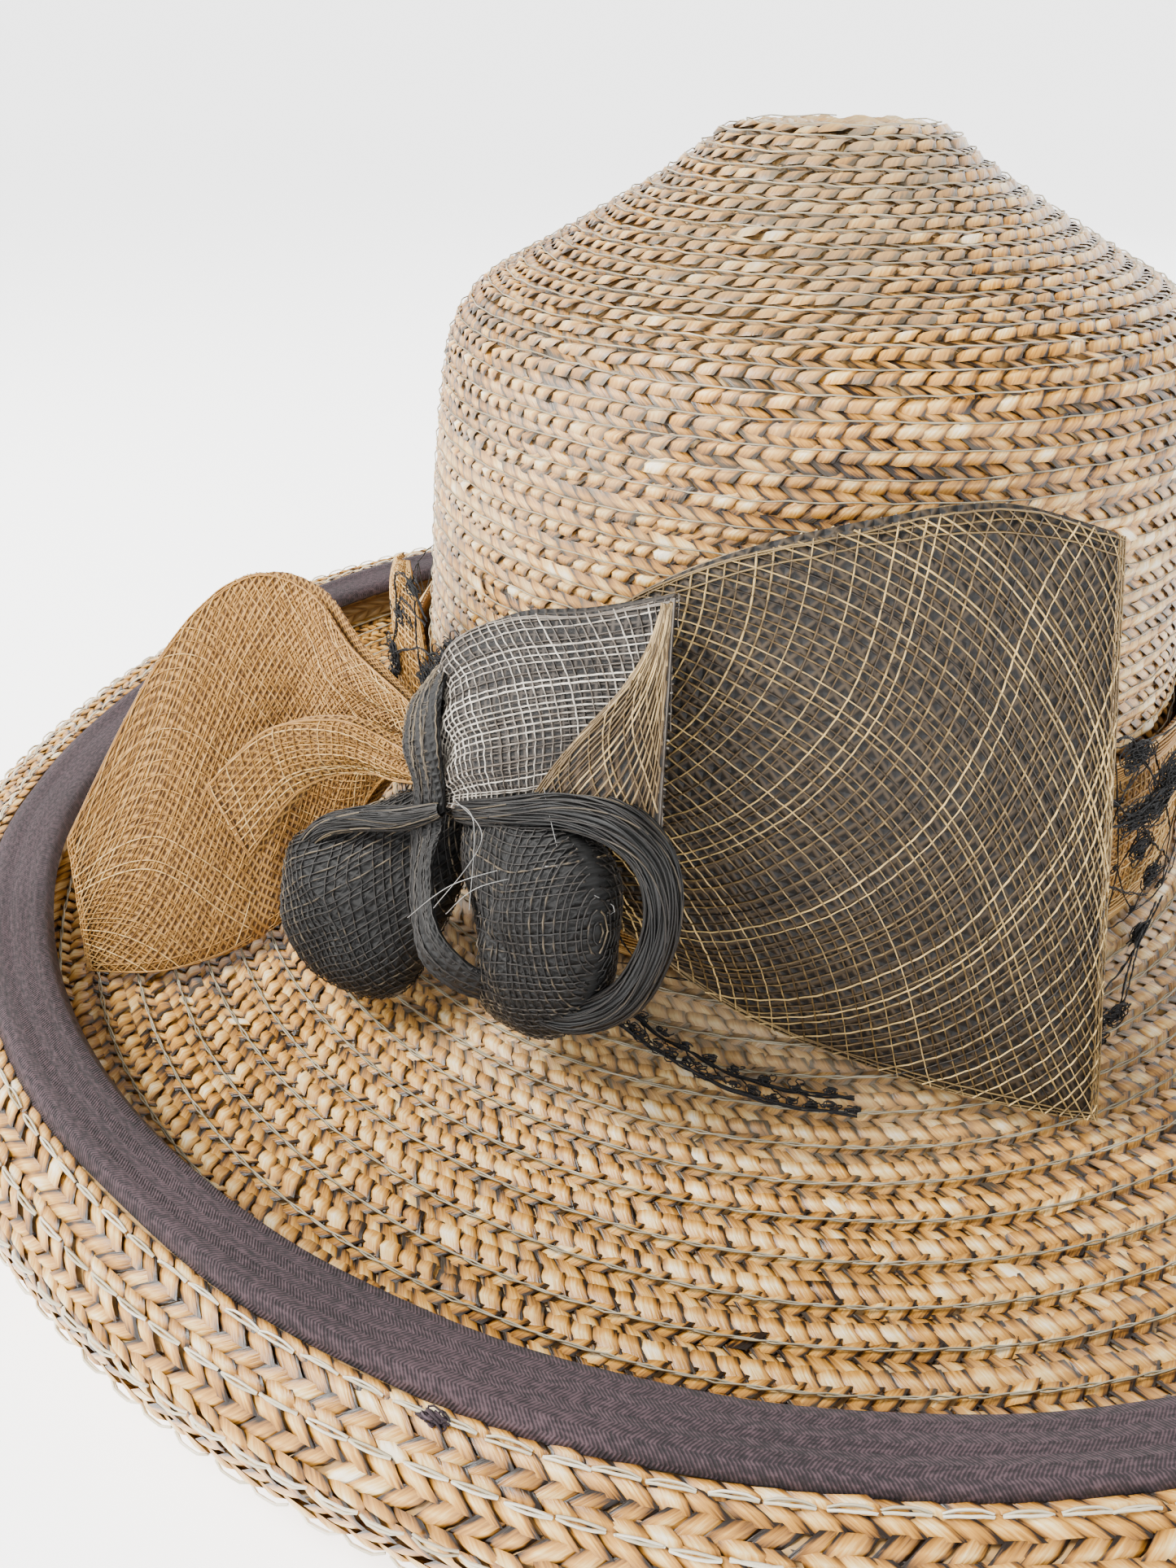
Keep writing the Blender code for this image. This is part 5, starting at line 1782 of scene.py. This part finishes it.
@dataclass
class Bow:
    """The loops, the rosettes, the knot and the strap of the bow, in their own colours of sinamay."""

    tan_cloth: bpy.types.Material
    tan: bpy.types.Material

    def loops(self) -> list[bpy.types.Object]:
        """Make the fan, the leaf with its flap, the wing and the ruffle."""
        # The dark gap colours of these second layers are painted shade seen through the weave's holes.
        taupe_cloth = NetFinish("taupe_sinamay_layer_and_painted_shade", "060403", "281E13", "453722", 1.9 * MM, 54.0).build()
        taupe = StrandFinish("taupe_sinamay_strands", "1E1710", "5D4929", "D2B272", 0.42).build()
        grey_cloth = NetFinish("grey_sinamay_layer_and_painted_shade", "070504", "241E19", "453D35", 1.5 * MM, 3.0).build()
        grey = StrandFinish("grey_sinamay_strands", "1C1713", "5E544A", "DDD5C8", 0.42).build()
        brown_cloth = NetFinish("brown_sinamay_layer_and_painted_shade", "080503", "2C2011", "4A371E", 1.5 * MM, 30.0).build()
        brown = StrandFinish("brown_sinamay_strands", "21170D", "65502F", "CDB07C", 0.42).build()
        fan = Loop("bow_fan", FAN_SECTIONS, (0.078, 0.236), taupe_cloth, taupe, "taupe_sinamay", 1.7 * MM, 45.0,
                   101, bend=0.16, tone=0.64, spread=0.30)
        leaf = Loop("bow_leaf", LEAF_SECTIONS, (0.037, 0.096), grey_cloth, grey, "grey_sinamay", 1.4 * MM, 4.0,
                    102, pleats=3.0, bend=0.10, tone=0.60, spread=0.28)
        wing = Loop("bow_wing", WING_SECTIONS, (0.050, 0.201), self.tan_cloth, self.tan, "tan_sinamay", 1.5 * MM,
                    40.0, 103)
        fold = Loop("bow_fold", FOLD_SECTIONS, (0.015, 0.094), self.tan_cloth, self.tan, "tan_sinamay", 1.3 * MM,
                    8.0, 104, pleats=2.0)
        pieces = [piece for loop in (fan, leaf, wing, fold) for piece in loop.build()]
        return pieces + Flap(leaf, brown_cloth, brown).build()

    def build(self) -> list[bpy.types.Object]:
        """Make the whole bow."""
        # The dark gap colour of this second layer is painted shade seen through the weave's holes.
        cloth = NetFinish("black_sinamay_layer_and_painted_shade", "010101", "050505", "0C0B0A", 1.5 * MM, 12.0).build()
        black = StrandFinish("black_sinamay_strands", "030303", "1F1A16", "8C7B60", 0.55).build()
        hair = StrandFinish("pale_loose_fibre", "5A5A58", "A8A7A4", "E4E4E2", 0.4).build()
        left = Rosette("rosette_left", (-39.6, 1.235, 0.320), (0.038, 0.022, 0.034), (-0.20, 0.10, -0.34),
                       RIM_LEFT, 2.4 * MM, (-0.2, 0.5, 0.0), 24.0, cloth, black, 131, rim_clear=9.0 * MM)
        right = Rosette("rosette_right", (-18.6, 1.200, 0.480), (0.050, 0.023, 0.038), (0.25, 0.25, -0.20),
                        RIM_RIGHT, 3.4 * MM, (0.40, 0.25, 0.75), -40.0, cloth, black, 141)
        return self.loops() + left.build() + right.build() + Gathers(cloth, black, hair).build()


@dataclass(frozen=True)
class Light:
    """A soft square light aimed at the hat."""

    name: str
    place: tuple[float, float, float]
    size: float
    power: float
    colour: tuple[float, float, float]

    def build(self) -> None:
        """Hang the light."""
        data = bpy.data.lights.new(self.name, "AREA")
        data.size = self.size
        data.energy = self.power
        data.color = self.colour
        made = bpy.data.objects.new(self.name, data)
        bpy.context.scene.collection.objects.link(made)
        made.location = self.place
        aim = Vector((0.0, -0.05, 0.06)) - Vector(self.place)
        made.rotation_euler = aim.to_track_quat("-Z", "Y").to_euler()


@dataclass
class Studio:
    """The camera, the plain pale floor, the world and the lights."""

    world_light: float = 0.45
    floor_glow: float = 2.3
    sweep_start: float = 5.0
    sweep_rise: float = 0.075
    lights: tuple[Light, ...] = (
        Light("window", (-0.62, -0.30, 0.85), 0.38, 25.0, (1.0, 0.98, 0.94)),
        Light("front", (0.30, -1.10, 0.75), 0.8, 3.5, (1.0, 0.99, 0.97)),
        Light("back", (0.5, 0.9, 0.7), 0.8, 6.0, (0.97, 0.98, 1.0)),
    )

    def camera(self) -> None:
        """Place the camera as the photograph's was."""
        data = bpy.data.cameras.new("camera")
        data.sensor_width = SENSOR_MM
        data.lens = FOCAL_PIXELS / LONG_SIDE_PIXELS * SENSOR_MM
        data.clip_start = 0.01
        camera = bpy.data.objects.new("camera", data)
        bpy.context.scene.collection.objects.link(camera)
        camera.location = CAMERA_PLACE
        camera.rotation_euler = (math.radians(90.0 - CAMERA_PITCH), 0.0, math.radians(CAMERA_YAW))
        bpy.context.scene.camera = camera

    def floor(self) -> None:
        """Lay the white floor, which sweeps up far behind the hat so that no horizon shows."""
        builder = bmesh.new()
        bmesh.ops.create_grid(builder, x_segments=56, y_segments=56, size=14.0)
        for vert in builder.verts:
            beyond = max(math.hypot(vert.co.x, vert.co.y) - self.sweep_start, 0.0)
            vert.co.z = self.sweep_rise * beyond**2
        mesh = bpy.data.meshes.new("floor")
        builder.to_mesh(mesh)
        builder.free()
        mesh.shade_smooth()
        floor = bpy.data.objects.new("floor", mesh)
        bpy.context.scene.collection.objects.link(floor)
        recipe = Recipe("white_paper")
        recipe.shader.inputs["Base Color"].default_value = linear("FAFAFA")
        recipe.shader.inputs["Roughness"].default_value = 0.95
        recipe.shader.inputs["Emission Color"].default_value = (1.0, 1.0, 1.0, 1.0)
        recipe.shader.inputs["Emission Strength"].default_value = self.floor_glow
        mesh.materials.append(recipe.material)

    def build(self) -> None:
        """Set up everything round the hat."""
        self.camera()
        self.floor()
        world = bpy.data.worlds.new("studio")
        bpy.context.scene.world = world
        world.use_nodes = True
        background = world.node_tree.nodes["Background"]
        background.inputs["Color"].default_value = (1.0, 1.0, 1.0, 1.0)
        background.inputs["Strength"].default_value = self.world_light
        for light in self.lights:
            light.build()


def main() -> None:
    """Build the hat round the frame."""
    logging.basicConfig(level=logging.INFO, format="%(message)s")
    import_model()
    Studio().build()
    top_thread = StrandFinish("grey_cotton_sewing_thread", "6A624F", "9A917A", "C9C1AA", 0.8).build()
    bobbin_thread = StrandFinish("cream_cotton_bobbin_thread", "A89C80", "D6CCB2", "F4EEDF", 0.8).build()
    yarn = StrandFinish("black_lace_yarn", "020203", "08080A", "1C1C20", 0.75).build()
    purple_yarn = StrandFinish("purple_brown_yarn", "120B0F", "2B1E25", "5B4A52", 0.85).build()
    # The darker gap colour of this second layer is painted shade seen through the weave's holes.
    tan_cloth = NetFinish("tan_sinamay_layer_and_painted_shade", "5E3D14", "A0722F", "BC8F4C", 1.15 * MM, 38.0, 0.30).build()
    tan = StrandFinish("tan_sinamay_strands", "6A4517", "AC7D38", "DDBB7C").build()
    body = StrawBody(StrawFinish().build(), BackPlaitFinish().build(), top_thread, bobbin_thread)
    pieces = body.build()
    pieces += Binding(RibbonFinish().build(), purple_yarn).build()
    pieces += CrownBand(tan_cloth, tan).build()
    pieces += Lace(yarn).build()
    pieces += Bow(tan_cloth, tan).build()
    total = 0
    for piece in pieces:
        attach(piece, BODY)
        piece.data.calc_loop_triangles()
        count = len(piece.data.loop_triangles)
        total += count
        LOG.info("%s: %d triangles", piece.name, count)
    LOG.info("triangles in all: %d, view %s", total, bpy.context.scene.view_settings.view_transform)


if __name__ == "__main__":
    main()
